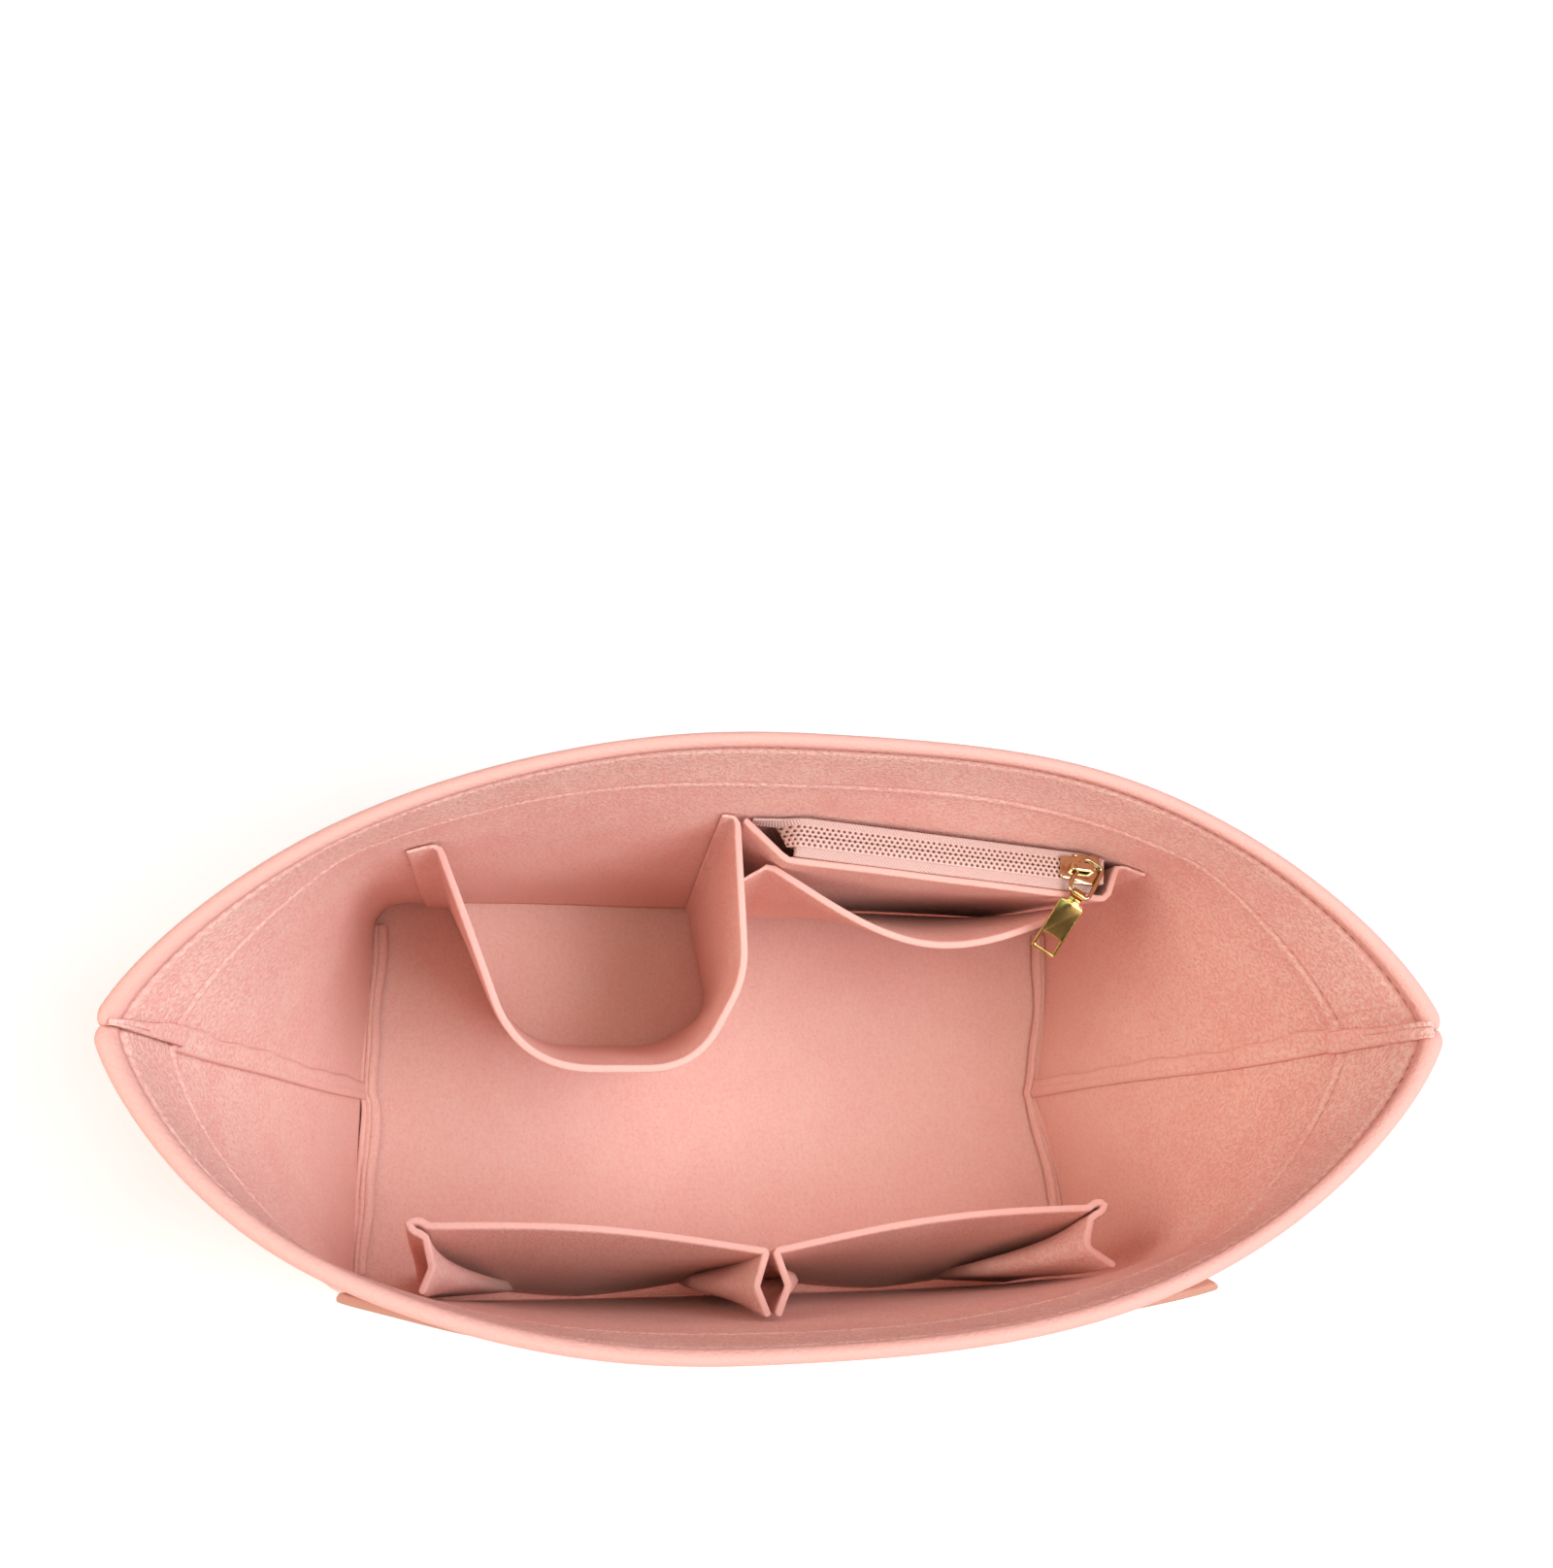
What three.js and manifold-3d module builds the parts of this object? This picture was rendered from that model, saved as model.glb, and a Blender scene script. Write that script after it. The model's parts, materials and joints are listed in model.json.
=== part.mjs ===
// Felt purse organizer insert: two felt walls on a felt base, with sewn pockets and a zipped pocket inside.
// Millimetres, +Z up, origin at the middle of the underside. The rear wall is at +Y, the front wall at -Y.
import * as THREE from "three";
import { mergeVertices } from "three/addons/utils/BufferGeometryUtils.js";
import Module from "manifold-3d";

const wasm = await Module();
wasm.setup();

// Felt and clearances
const FELT = 3;
const GAP = 0.3;

// Body: base, walls and the folded hem of the rim
const BASE_LENGTH = 294;
const BASE_WIDTH = 162;
const BASE_CORNER = 14;
const HEIGHT = 200;
const RIM_LENGTH = 405;
const RIM_DEPTH = 183;
const RIM_LEAN = 9;
const RIM_TIP_POWER = 2.45;
const RIM_SIDE_POWER = 0.75;
const HEM_DEPTH = 38;

// Strips over the seams
const SEAM_STRIP_WIDTH = 6;
const SEAM_STRIP = 2;
const BASE_STRIP_WIDTH = 5;

// Bottle pocket on the rear wall, placed along the foot of the wall from its middle
const BOTTLE_DROP = 30;
const BOTTLE_LEFT = -119;
const BOTTLE_RIGHT = -14;
const BOTTLE_DEPTH = 82;
const BOTTLE_FOOT_DEPTH = 59;
const BOTTLE_SIDE_DEPTH = 51;
const BOTTLE_SIDE_FOOT_DEPTH = 46;
const BOTTLE_FRONT_LEFT = -86;
const BOTTLE_FRONT_RIGHT = -28;
const BOTTLE_TOP_RIGHT = -11;
const BOTTLE_FOOT_RIGHT = -4.5;
const BOTTLE_BEND = 36;
const BOTTLE_LEFT_FLANGE = 11;
const BOTTLE_RIGHT_FLANGE = 8;
const FOLD = 4;

// Zip pocket on the rear wall, with a slip pocket on its face
const ZIP_DROP = 32;
const ZIP_LEFT = -4;
const ZIP_RIGHT = 126;
const ZIP_REACH = 6;
const ZIP_FLANGE = 12;
const ZIP_SLANT = 9;
const ZIP_POCKET_FOOT = 12;
const SLIP_DROP = 11;
const SLIP_DEPTH = 21;
const SLIP_SIDE = 5;
const SLIP_FOOT_RISE = 4;

// Two pockets on the front wall, and one pocket outside it
const FRONT_DROP = 44;
const FRONT_END = 121;
const FRONT_DEPTH = 22;
const FRONT_FOOT = 8;
const GUSSET_FOLD = 5;
const OUTER_DROP = 50;
const OUTER_FOOT_HALF = 124;
const OUTER_TOP_HALF = 141;
const OUTER_SLACK = 0.8;
const OUTER_MOUTH = 1.5;
const OUTER_FOOT = 12;

// Zip
const TAPE = 0.8;
const COIL_WIDTH = 4.1;
const COIL_HEIGHT = 2.6;
const TAPE_SEEN = 3.1;
const STOP_LENGTH = 1.6;

// Slider, link and tab
const SLIDER_LENGTH = 15;
const SLIDER_WIDTH = 11;
const SLIDER_PLATE = 1.2;
const SLIDER_LIP = 0.8;
const SLIDER_CORNER = 2;
const POST_LENGTH = 3;
const BRIDGE_LENGTH = 9;
const BRIDGE_WIDTH = 2.8;
const BRIDGE_THICK = 1.3;
const LINK_WIRE = 1.5;
const LINK_WIDTH = 8.2;
const LINK_FRONT = 9.2;
const LINK_REAR = 4.6;
const LINK_CORNER = 2;
const LINK_SET = 1;
const PULL_TURN = 26;
const PULL_DROOP = 20;
const TAB_LENGTH = 24;
const TAB_WIDTH = 9.4;
const TAB_NECK = 4.6;
const TAB_THICK = 1.4;
const TAB_CORNER = 1;
const TAB_FRAME = 1.2;
const TAB_WINDOW = 5.6;
const SLEEVE_WALL = 0.8;

// How finely curves are cut
const STATIONS = 48;
const LEVELS = 8;
const FINE = 240;
const RUN_STEPS = 12;
const FOLD_STEPS = 4;
const WIRE_SIDES = 8;
const CORNER_SHARE = 0.45;

const FLOOR = FELT + GAP;
const HEM_EDGE = HEIGHT - HEM_DEPTH;
const SEWN = GAP + FELT / 2;

const felt = new THREE.MeshStandardMaterial({ color: 0xeeb0a2, roughness: 0.95, metalness: 0 });
const weave = new THREE.MeshStandardMaterial({ color: 0xe2a093, roughness: 0.9, metalness: 0 });
const nylon = new THREE.MeshStandardMaterial({ color: 0xe8a99b, roughness: 0.5, metalness: 0 });
const gold = new THREE.MeshStandardMaterial({ color: 0xc9a468, roughness: 0.25, metalness: 1 });

const lerp = THREE.MathUtils.lerp;
const plan = (x, y) => new THREE.Vector2(x, y);

// Points spread evenly along a line of points
function spread(points, count) {
  const lengths = [0];
  for (let i = 1; i < points.length; i++) {
    lengths.push(lengths[i - 1] + points[i].distanceTo(points[i - 1]));
  }
  const whole = lengths[lengths.length - 1];
  const even = [];
  let step = 1;
  for (let i = 0; i <= count; i++) {
    const along = (whole * i) / count;
    while (step < points.length - 1 && lengths[step] < along) step++;
    const share = (along - lengths[step - 1]) / (lengths[step] - lengths[step - 1]);
    even.push(points[step - 1].clone().lerp(points[step], share));
  }
  return even;
}

// Line of points with each corner rounded; a corner's radius is cut short where its sides are
function rounded(corners) {
  const line = [corners[0].at];
  for (let i = 1; i + 1 < corners.length; i++) {
    const corner = corners[i].at;
    if (!corners[i].round) {
      line.push(corner);
      continue;
    }
    const back = corners[i - 1].at.clone().sub(corner);
    const on = corners[i + 1].at.clone().sub(corner);
    const half = Math.abs(back.angleTo(on)) / 2;
    const room = CORNER_SHARE * Math.min(back.length(), on.length());
    const reach = Math.min(corners[i].round / Math.tan(half), room);
    const start = corner.clone().add(back.setLength(reach));
    const end = corner.clone().add(on.setLength(reach));
    const bend = new THREE.QuadraticBezierCurve(start, corner, end);
    line.push(...bend.getPoints(FOLD_STEPS));
  }
  line.push(corners[corners.length - 1].at);
  return line;
}

// Line of points moved sideways, to the left of its direction
function beside(line, distance) {
  return line.map((point, i) => {
    const before = point.clone().sub(line[Math.max(i - 1, 0)]).normalize();
    const after = line[Math.min(i + 1, line.length - 1)].clone().sub(point).normalize();
    const mid = before.clone().add(after).normalize();
    const mitre = Math.max(mid.dot(i ? before : after), Math.SQRT1_2);
    return plan(point.x - (mid.y * distance) / mitre, point.y + (mid.x * distance) / mitre);
  });
}

// Closed geometry from points and triangles, with its faces pointing out
function closedGeometry(points, triangles) {
  let volume = 0;
  for (const [a, b, c] of triangles) {
    volume += points[a].dot(points[b].clone().cross(points[c]));
  }
  const index = volume < 0 ? triangles.map(([a, b, c]) => [a, c, b]) : triangles;
  const geometry = new THREE.BufferGeometry().setFromPoints(points);
  geometry.setIndex(index.flat());
  geometry.computeVertexNormals();
  return geometry;
}

// Solid through a row of rings with equal counts; it closes on itself, or is capped with the given faces
function loft(rings, cap) {
  const count = rings[0].length;
  const triangles = [];
  const rows = cap ? rings.length - 1 : rings.length;
  for (let row = 0; row < rows; row++) {
    const next = ((row + 1) % rings.length) * count;
    for (let i = 0; i < count; i++) {
      const j = (i + 1) % count;
      const here = row * count;
      triangles.push([here + i, here + j, next + j], [here + i, next + j, next + i]);
    }
  }
  if (cap) {
    const last = rows * count;
    for (const [a, b, c] of cap) triangles.push([a, c, b], [last + a, last + b, last + c]);
  }
  return closedGeometry(rings.flat(), triangles);
}

// Faces across a strip whose ring runs along one side and back along the other
function stripFaces(count) {
  const faces = [];
  for (let i = 0; i + 1 < count / 2; i++) {
    const over = count - 1 - i;
    faces.push([i, i + 1, over - 1], [i, over - 1, over]);
  }
  return faces;
}

// Triangles of a flat outline, turned the way the outline runs
function capFaces(outline) {
  const way = Math.sign(THREE.ShapeUtils.area(outline));
  return THREE.ShapeUtils.triangulateShape(outline, []).map(([a, b, c]) => {
    const turned = Math.sign(THREE.ShapeUtils.area([outline[a], outline[b], outline[c]]));
    return turned === way ? [a, b, c] : [a, c, b];
  });
}

// Half outline of the base, from the left seam round the rear to the right seam, moved in by an inset
function baseHalf(inset) {
  const end = BASE_LENGTH / 2 - inset;
  const side = BASE_WIDTH / 2 - inset;
  const round = Math.max(BASE_CORNER - inset, GAP);
  const shape = new THREE.Path();
  shape.moveTo(-end, 0);
  shape.lineTo(-end, side - round);
  shape.absarc(round - end, side - round, round, Math.PI, Math.PI / 2, true);
  shape.lineTo(end - round, side);
  shape.absarc(end - round, side - round, round, Math.PI / 2, 0, true);
  shape.lineTo(end, 0);
  return shape.getPoints(RUN_STEPS);
}

// Half outline of the rim: a lens with its fullest point set to one side
function rimHalf(inset) {
  const half = RIM_LENGTH / 2 - inset * Math.SQRT2;
  const deep = RIM_DEPTH / 2 - inset;
  const line = [];
  for (let i = 0; i <= FINE; i++) {
    const u = Math.sin((i / FINE - 0.5) * Math.PI);
    const full = Math.max(1 - Math.abs(u) ** RIM_TIP_POWER, 0) ** RIM_SIDE_POWER;
    line.push(plan(u * half + RIM_LEAN * (1 - u * u), deep * full));
  }
  return line;
}

// Rear wall at one height: base outline and rim outline joined at equal shares of their length
function wallLine(z, inset, count) {
  const foot = spread(baseHalf(inset), count);
  const rim = spread(rimHalf(inset), count);
  return foot.map((point, i) => point.clone().lerp(rim[i], z / HEIGHT));
}

// Point by the rear wall, found by its place along the wall's foot and its distance in from the felt
function onWall(along, z, distance) {
  const line = wallLine(z, FELT, STATIONS);
  const halfRun = BASE_LENGTH / 2 + BASE_WIDTH / 2;
  const place = (along / halfRun + 1) * (STATIONS / 2);
  const first = THREE.MathUtils.clamp(Math.floor(place), 0, STATIONS - 1);
  const way = line[first + 1].clone().sub(line[first]).normalize();
  const point = line[first].clone().lerp(line[first + 1], place - first);
  return point.add(plan(way.y * distance, -way.x * distance));
}

// Felt strip standing through a row of lines, each at its own height
function standingFelt(...rows) {
  const rings = rows.map(({ line, z }) => {
    const outline = [...beside(line, FELT / 2), ...beside(line, -FELT / 2).reverse()];
    return outline.map((point) => new THREE.Vector3(point.x, point.y, z));
  });
  return loft(rings, stripFaces(rings[0].length));
}

// Section of a wall as inset and height: up outside, over the fold, down the hem, down inside
function wallProfile() {
  const profile = [];
  for (let i = 0; i <= LEVELS; i++) profile.push(plan(0, lerp(FLOOR, HEIGHT - FELT, i / LEVELS)));
  for (let i = 1; i <= FOLD_STEPS; i++) {
    const turn = (Math.PI * i) / FOLD_STEPS;
    profile.push(plan(FELT - FELT * Math.cos(turn), HEIGHT - FELT + FELT * Math.sin(turn)));
  }
  profile.push(plan(2 * FELT, HEM_EDGE));
  for (let i = 0; i <= LEVELS; i++) profile.push(plan(FELT, lerp(HEM_EDGE, FLOOR, i / LEVELS)));
  return profile;
}

// One felt wall with its hem, from seam to seam
function wall() {
  const profile = wallProfile();
  const lines = profile.map((point) => wallLine(point.y, point.x, STATIONS));
  const rings = [];
  for (let i = 0; i <= STATIONS; i++) {
    rings.push(profile.map((point, k) => new THREE.Vector3(lines[k][i].x, lines[k][i].y + GAP / 2, point.y)));
  }
  return loft(rings, capFaces(profile));
}

function basePanel() {
  const half = baseHalf(0);
  const other = half.map((point) => plan(-point.x, -point.y));
  const shape = new THREE.Shape([...half, ...other.slice(1, -1)]);
  return new THREE.ExtrudeGeometry(shape, { depth: FELT, bevelEnabled: false });
}

// Strip folded into the corner of the right seam, from the base strip up to the hem
function seamStrip() {
  const start = FLOOR + SEAM_STRIP + GAP;
  const end = HEM_EDGE - GAP;
  const side = (z, inset) => {
    const rear = wallLine(z, inset, FINE);
    const halfRun = BASE_LENGTH + BASE_WIDTH;
    const reach = Math.round((SEAM_STRIP_WIDTH / halfRun) * FINE);
    const right = rear.slice(-1 - reach);
    const left = rear.slice(0, reach + 1).map((point) => plan(-point.x, -point.y));
    return [...right, ...left.slice(1)];
  };
  const rings = [];
  for (let i = 0; i <= LEVELS; i++) {
    const z = lerp(start, end, i / LEVELS);
    const outline = [...side(z, FELT + GAP), ...side(z, FELT + GAP + SEAM_STRIP).reverse()];
    rings.push(outline.map((point) => new THREE.Vector3(point.x, point.y, z)));
  }
  return loft(rings, stripFaces(rings[0].length));
}

// Flat strip over the seam between the base and the right end
function baseStrip() {
  const facet = (BASE_LENGTH + BASE_WIDTH) / STATIONS;
  const length = BASE_WIDTH - 2 * (BASE_CORNER + facet);
  const strip = new THREE.BoxGeometry(BASE_STRIP_WIDTH, length, SEAM_STRIP);
  const edge = BASE_LENGTH / 2 - FELT - GAP;
  return strip.translate(edge - BASE_STRIP_WIDTH / 2, 0, FLOOR + SEAM_STRIP / 2);
}

// Bottle pocket: a strip bent to a U, with a flange turned out on the left and in on the right
function bottlePocket() {
  const top = HEM_EDGE - BOTTLE_DROP;
  const wall = BASE_WIDTH / 2 - FELT;
  const row = (rise) => {
    const z = lerp(FLOOR, top, rise);
    const front = wall - lerp(BOTTLE_FOOT_DEPTH, BOTTLE_DEPTH, rise);
    const side = wall - lerp(BOTTLE_SIDE_FOOT_DEPTH, BOTTLE_SIDE_DEPTH, rise);
    const right = lerp(BOTTLE_FOOT_RIGHT, BOTTLE_TOP_RIGHT, rise);
    const line = rounded([
      { at: onWall(BOTTLE_LEFT - BOTTLE_LEFT_FLANGE, z, SEWN) },
      { at: onWall(BOTTLE_LEFT, z, SEWN), round: FOLD },
      { at: plan(BOTTLE_FRONT_LEFT, front), round: BOTTLE_BEND },
      { at: plan(BOTTLE_FRONT_RIGHT, front), round: BOTTLE_BEND },
      { at: plan(right, side), round: BOTTLE_BEND },
      { at: onWall(BOTTLE_RIGHT, z, SEWN), round: FOLD },
      { at: onWall(BOTTLE_RIGHT - BOTTLE_RIGHT_FLANGE, z, SEWN) },
    ]);
    return { line, z };
  };
  const rows = [];
  for (let i = 0; i <= FOLD_STEPS; i++) rows.push(row(i / FOLD_STEPS));
  return standingFelt(...rows);
}

// The zip runs straight, along the chord of the rear wall between the ends of its pocket
const ZIP_HEIGHT = HEM_EDGE - ZIP_DROP;
const zipStart = onWall(ZIP_LEFT, ZIP_HEIGHT, 0);
const zipEnd = onWall(ZIP_RIGHT, ZIP_HEIGHT, 0);
const zipAlong = zipEnd.clone().sub(zipStart).normalize();
const zipFront = plan(zipAlong.y, -zipAlong.x);
const zipLength = zipStart.distanceTo(zipEnd);
const zipMiddle = zipStart.clone().lerp(zipEnd, 0.5).addScaledVector(zipFront, ZIP_REACH);
const tapeEdge = GAP / 2 + COIL_WIDTH + GAP;
const panelReach = tapeEdge + TAPE_SEEN + GAP + FELT / 2;
const zipTop = ZIP_HEIGHT + TAPE / 2;
const faceStart = ZIP_SLANT / zipLength;

// Face of the zip pocket's panel at a share of its run and at a height, on the middle of its felt
function zipFace(share, z) {
  const along = (share - 0.5) * zipLength;
  const top = zipMiddle.clone().addScaledVector(zipAlong, along).addScaledVector(zipFront, panelReach);
  const foot = onWall(lerp(ZIP_LEFT, ZIP_RIGHT, share), ZIP_POCKET_FOOT, SEWN);
  return foot.lerp(top, (z - ZIP_POCKET_FOOT) / (zipTop - ZIP_POCKET_FOOT));
}

// Panel of the zip pocket: turned back to the wall at both ends, slanting at the left, flat at its foot
function zipPocketPanel() {
  const row = (z) => {
    const corners = [{ at: onWall(ZIP_LEFT - FOLD, z, SEWN) }];
    for (let i = 0; i <= RUN_STEPS; i++) {
      const atEnd = i === 0 || i === RUN_STEPS;
      corners.push({ at: zipFace(lerp(faceStart, 1, i / RUN_STEPS), z), round: atEnd ? FOLD : 0 });
    }
    corners.push({ at: onWall(ZIP_RIGHT + FOLD, z, SEWN), round: FOLD });
    corners.push({ at: onWall(ZIP_RIGHT + FOLD + ZIP_FLANGE, z, SEWN) });
    return { line: rounded(corners), z };
  };
  return standingFelt(row(ZIP_POCKET_FOOT), row(zipTop));
}

// Slip pocket on the zip pocket's face: flat at its foot and its sides, bellied at its mouth
function slipPocket() {
  const foot = ZIP_POCKET_FOOT + SLIP_FOOT_RISE;
  const top = zipTop - SLIP_DROP;
  const side = SLIP_SIDE / zipLength;
  const row = (z, belly) => {
    const line = [];
    for (let i = 0; i <= RUN_STEPS; i++) {
      const share = i / RUN_STEPS;
      const out = FELT + GAP + belly * Math.sin(Math.PI * share);
      line.push(zipFace(lerp(faceStart, 1 - side, share), z).addScaledVector(zipFront, out));
    }
    return { line, z };
  };
  return standingFelt(row(foot, 0), row(top, SLIP_DEPTH));
}

// Pocket on a wall with folded ends, from the middle of the wall out to one end; the side is 1 or -1
function foldedPocket(side) {
  const top = HEM_EDGE - FRONT_DROP;
  const inner = FELT * Math.SQRT1_2 + GAP;
  const atFoot = (along) => onWall(side * along, FRONT_FOOT, SEWN);
  const atTop = (along, distance) => onWall(side * along, top, distance);
  const footLine = [atFoot(inner), atFoot(inner + FOLD)];
  const topLine = [atTop(inner, SEWN), atTop(inner + GUSSET_FOLD, FRONT_DEPTH / 2)];
  const topStart = atTop(inner, FRONT_DEPTH);
  const topEnd = atTop(FRONT_END, FRONT_DEPTH);
  for (let i = 0; i <= RUN_STEPS; i++) {
    footLine.push(atFoot(lerp(inner + 2 * FOLD, FRONT_END, i / RUN_STEPS)));
    topLine.push(topStart.clone().lerp(topEnd, i / RUN_STEPS));
  }
  footLine.push(atFoot(FRONT_END + FOLD), atFoot(FRONT_END + 2 * FOLD));
  topLine.push(atTop(FRONT_END - GUSSET_FOLD, FRONT_DEPTH / 2), atTop(FRONT_END, SEWN));
  return standingFelt({ line: footLine, z: FRONT_FOOT }, { line: topLine, z: top });
}

// Pocket outside a wall, sewn at its foot and sides, a little open at its mouth
function outerPocket() {
  const top = HEIGHT - OUTER_DROP;
  const rows = [];
  for (let level = 0; level <= LEVELS; level++) {
    const rise = level / LEVELS;
    const z = lerp(OUTER_FOOT, top, rise);
    const half = lerp(OUTER_FOOT_HALF, OUTER_TOP_HALF, rise);
    const line = [];
    for (let i = 0; i <= 2 * RUN_STEPS; i++) {
      const share = i / (2 * RUN_STEPS);
      const mouth = OUTER_MOUTH * rise * Math.sin(Math.PI * share);
      line.push(onWall(lerp(-half, half, share), z, -FELT - OUTER_SLACK - FELT / 2 - mouth));
    }
    rows.push({ line, z });
  }
  return standingFelt(...rows);
}

// Zip parts, in the zip's own frame: X along the zip, Y to the wall, Z up, origin in the middle of the chain
const tapeHalf = zipLength / 2 - FELT / 2 - GAP;
const sliderPlace = tapeHalf - STOP_LENGTH - GAP - SLIDER_LENGTH / 2;
const postEnd = SLIDER_LENGTH / 2 - SLIDER_PLATE;

// Tape sewn to the wall: straight beside the coil, curved like the wall behind
function rearTape() {
  const shape = new THREE.Shape();
  shape.moveTo(-tapeHalf, tapeEdge);
  shape.lineTo(tapeHalf, tapeEdge);
  for (let i = RUN_STEPS; i >= 0; i--) {
    const along = lerp(-tapeHalf, tapeHalf, i / RUN_STEPS);
    shape.lineTo(along, wallBehindZip(along));
  }
  const tape = new THREE.ExtrudeGeometry(shape, { depth: TAPE, bevelEnabled: false });
  return tape.translate(0, 0, -TAPE / 2);
}

// Distance from the zip's middle line back to the wall, less the clearance
function wallBehindZip(along) {
  const line = wallLine(ZIP_HEIGHT, FELT + GAP, STATIONS).map((point) => {
    const away = point.clone().sub(zipMiddle);
    return plan(away.dot(zipAlong), -away.dot(zipFront));
  });
  const next = line.findIndex((point) => point.x > along && point.y > 0);
  const before = line[next - 1];
  const after = line[next];
  return lerp(before.y, after.y, (along - before.x) / (after.x - before.x));
}

// Tape sewn to the pocket's panel, ending short of the panel's rounded corners
function frontTape() {
  const tape = new THREE.BoxGeometry(2 * (tapeHalf - FOLD) - ZIP_SLANT, TAPE_SEEN, TAPE);
  return tape.translate(ZIP_SLANT / 2, -tapeEdge - TAPE_SEEN / 2, 0);
}

// One row of the coil, from the bottom stop to the slider's post
function coilRow(side) {
  const start = ZIP_SLANT + STOP_LENGTH + GAP - tapeHalf;
  const end = sliderPlace + postEnd - POST_LENGTH - GAP;
  const row = new THREE.BoxGeometry(end - start, COIL_WIDTH, COIL_HEIGHT);
  return row.translate((start + end) / 2, side * (GAP + COIL_WIDTH) / 2, 0);
}

// Stop at the closed end, one on each side of the chain
function endStop(side) {
  const stop = new THREE.BoxGeometry(STOP_LENGTH, COIL_WIDTH, COIL_HEIGHT);
  return stop.translate(tapeHalf - STOP_LENGTH / 2, side * (GAP + COIL_WIDTH) / 2, 0);
}

function bottomStop() {
  const stop = new THREE.BoxGeometry(STOP_LENGTH, 2 * COIL_WIDTH + GAP, COIL_HEIGHT);
  return stop.translate(ZIP_SLANT + STOP_LENGTH / 2 - tapeHalf, 0, 0);
}

// Solid of a closed geometry, for joining and cutting
function solidOf(geometry) {
  const bare = geometry.clone();
  bare.deleteAttribute("normal");
  bare.deleteAttribute("uv");
  const merged = mergeVertices(bare);
  const vertProperties = new Float32Array(merged.attributes.position.array);
  const triVerts = new Uint32Array(merged.index.array);
  return new wasm.Manifold(new wasm.Mesh({ numProp: 3, vertProperties, triVerts }));
}

// Geometry of several closed geometries joined into one body
function joined(...pieces) {
  const body = pieces.map(solidOf).reduce((sum, piece) => sum.add(piece));
  const mesh = body.getMesh();
  const geometry = new THREE.BufferGeometry();
  geometry.setAttribute("position", new THREE.BufferAttribute(mesh.vertProperties, 3));
  geometry.setIndex(new THREE.BufferAttribute(mesh.triVerts, 1));
  geometry.computeVertexNormals();
  return geometry;
}

// Outline of a rounded rectangle, from its lower left corner
function roundedRectangle(x, y, width, length, round) {
  const shape = new THREE.Shape();
  shape.moveTo(x + round, y);
  shape.lineTo(x + width - round, y);
  shape.absarc(x + width - round, y + round, round, -Math.PI / 2, 0);
  shape.lineTo(x + width, y + length - round);
  shape.absarc(x + width - round, y + length - round, round, 0, Math.PI / 2);
  shape.lineTo(x + round, y + length);
  shape.absarc(x + round, y + length - round, round, Math.PI / 2, Math.PI);
  shape.lineTo(x, y + round);
  shape.absarc(x + round, y + round, round, Math.PI, 1.5 * Math.PI);
  return shape;
}

const plateRise = COIL_HEIGHT / 2 + GAP;
const bridgeHole = LINK_WIRE + 2 * GAP;
const linkRise = plateRise + SLIDER_PLATE + GAP + LINK_WIRE / 2;

// Slider: two plates round the chain, joined by the post in its nose, with lips and the bridge on top
function slider() {
  const flat = { depth: SLIDER_PLATE, bevelEnabled: false, curveSegments: FOLD_STEPS };
  const half = SLIDER_LENGTH / 2;
  const outline = roundedRectangle(-half, -SLIDER_WIDTH / 2, SLIDER_LENGTH, SLIDER_WIDTH, SLIDER_CORNER);
  const upper = new THREE.ExtrudeGeometry(outline, flat).translate(0, 0, plateRise);
  const lower = new THREE.ExtrudeGeometry(outline, flat).translate(0, 0, -plateRise - SLIDER_PLATE);
  const post = new THREE.BoxGeometry(POST_LENGTH, 2 * GAP + SLIDER_LIP, 2 * plateRise + SLIDER_PLATE);
  post.translate(postEnd - POST_LENGTH / 2, 0, 0);
  const lips = [-1, 1].map((side) => {
    const drop = plateRise - TAPE / 2 - GAP;
    const lip = new THREE.BoxGeometry(SLIDER_LENGTH - 2 * SLIDER_CORNER, SLIDER_LIP, drop + SLIDER_PLATE);
    const rise = plateRise + SLIDER_PLATE - (drop + SLIDER_PLATE) / 2;
    return lip.translate(0, (side * (SLIDER_WIDTH - SLIDER_LIP)) / 2, rise);
  });
  return joined(upper, lower, post, ...lips, bridge());
}

// Bridge on the slider: an arch along the zip, open across it for the link
function bridge() {
  const sunk = SLIDER_PLATE / 2;
  const foot = plateRise + sunk;
  const tall = bridgeHole + sunk + BRIDGE_THICK;
  const arch = roundedRectangle(-BRIDGE_LENGTH / 2, foot, BRIDGE_LENGTH, tall, BRIDGE_THICK / 2);
  const openLength = BRIDGE_LENGTH - 2 * BRIDGE_THICK;
  arch.holes.push(roundedRectangle(-openLength / 2, foot + sunk, openLength, bridgeHole, BRIDGE_THICK / 2));
  const across = { depth: BRIDGE_WIDTH, bevelEnabled: false, curveSegments: FOLD_STEPS };
  return new THREE.ExtrudeGeometry(arch, across).rotateX(Math.PI / 2).translate(0, BRIDGE_WIDTH / 2, 0);
}

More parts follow.
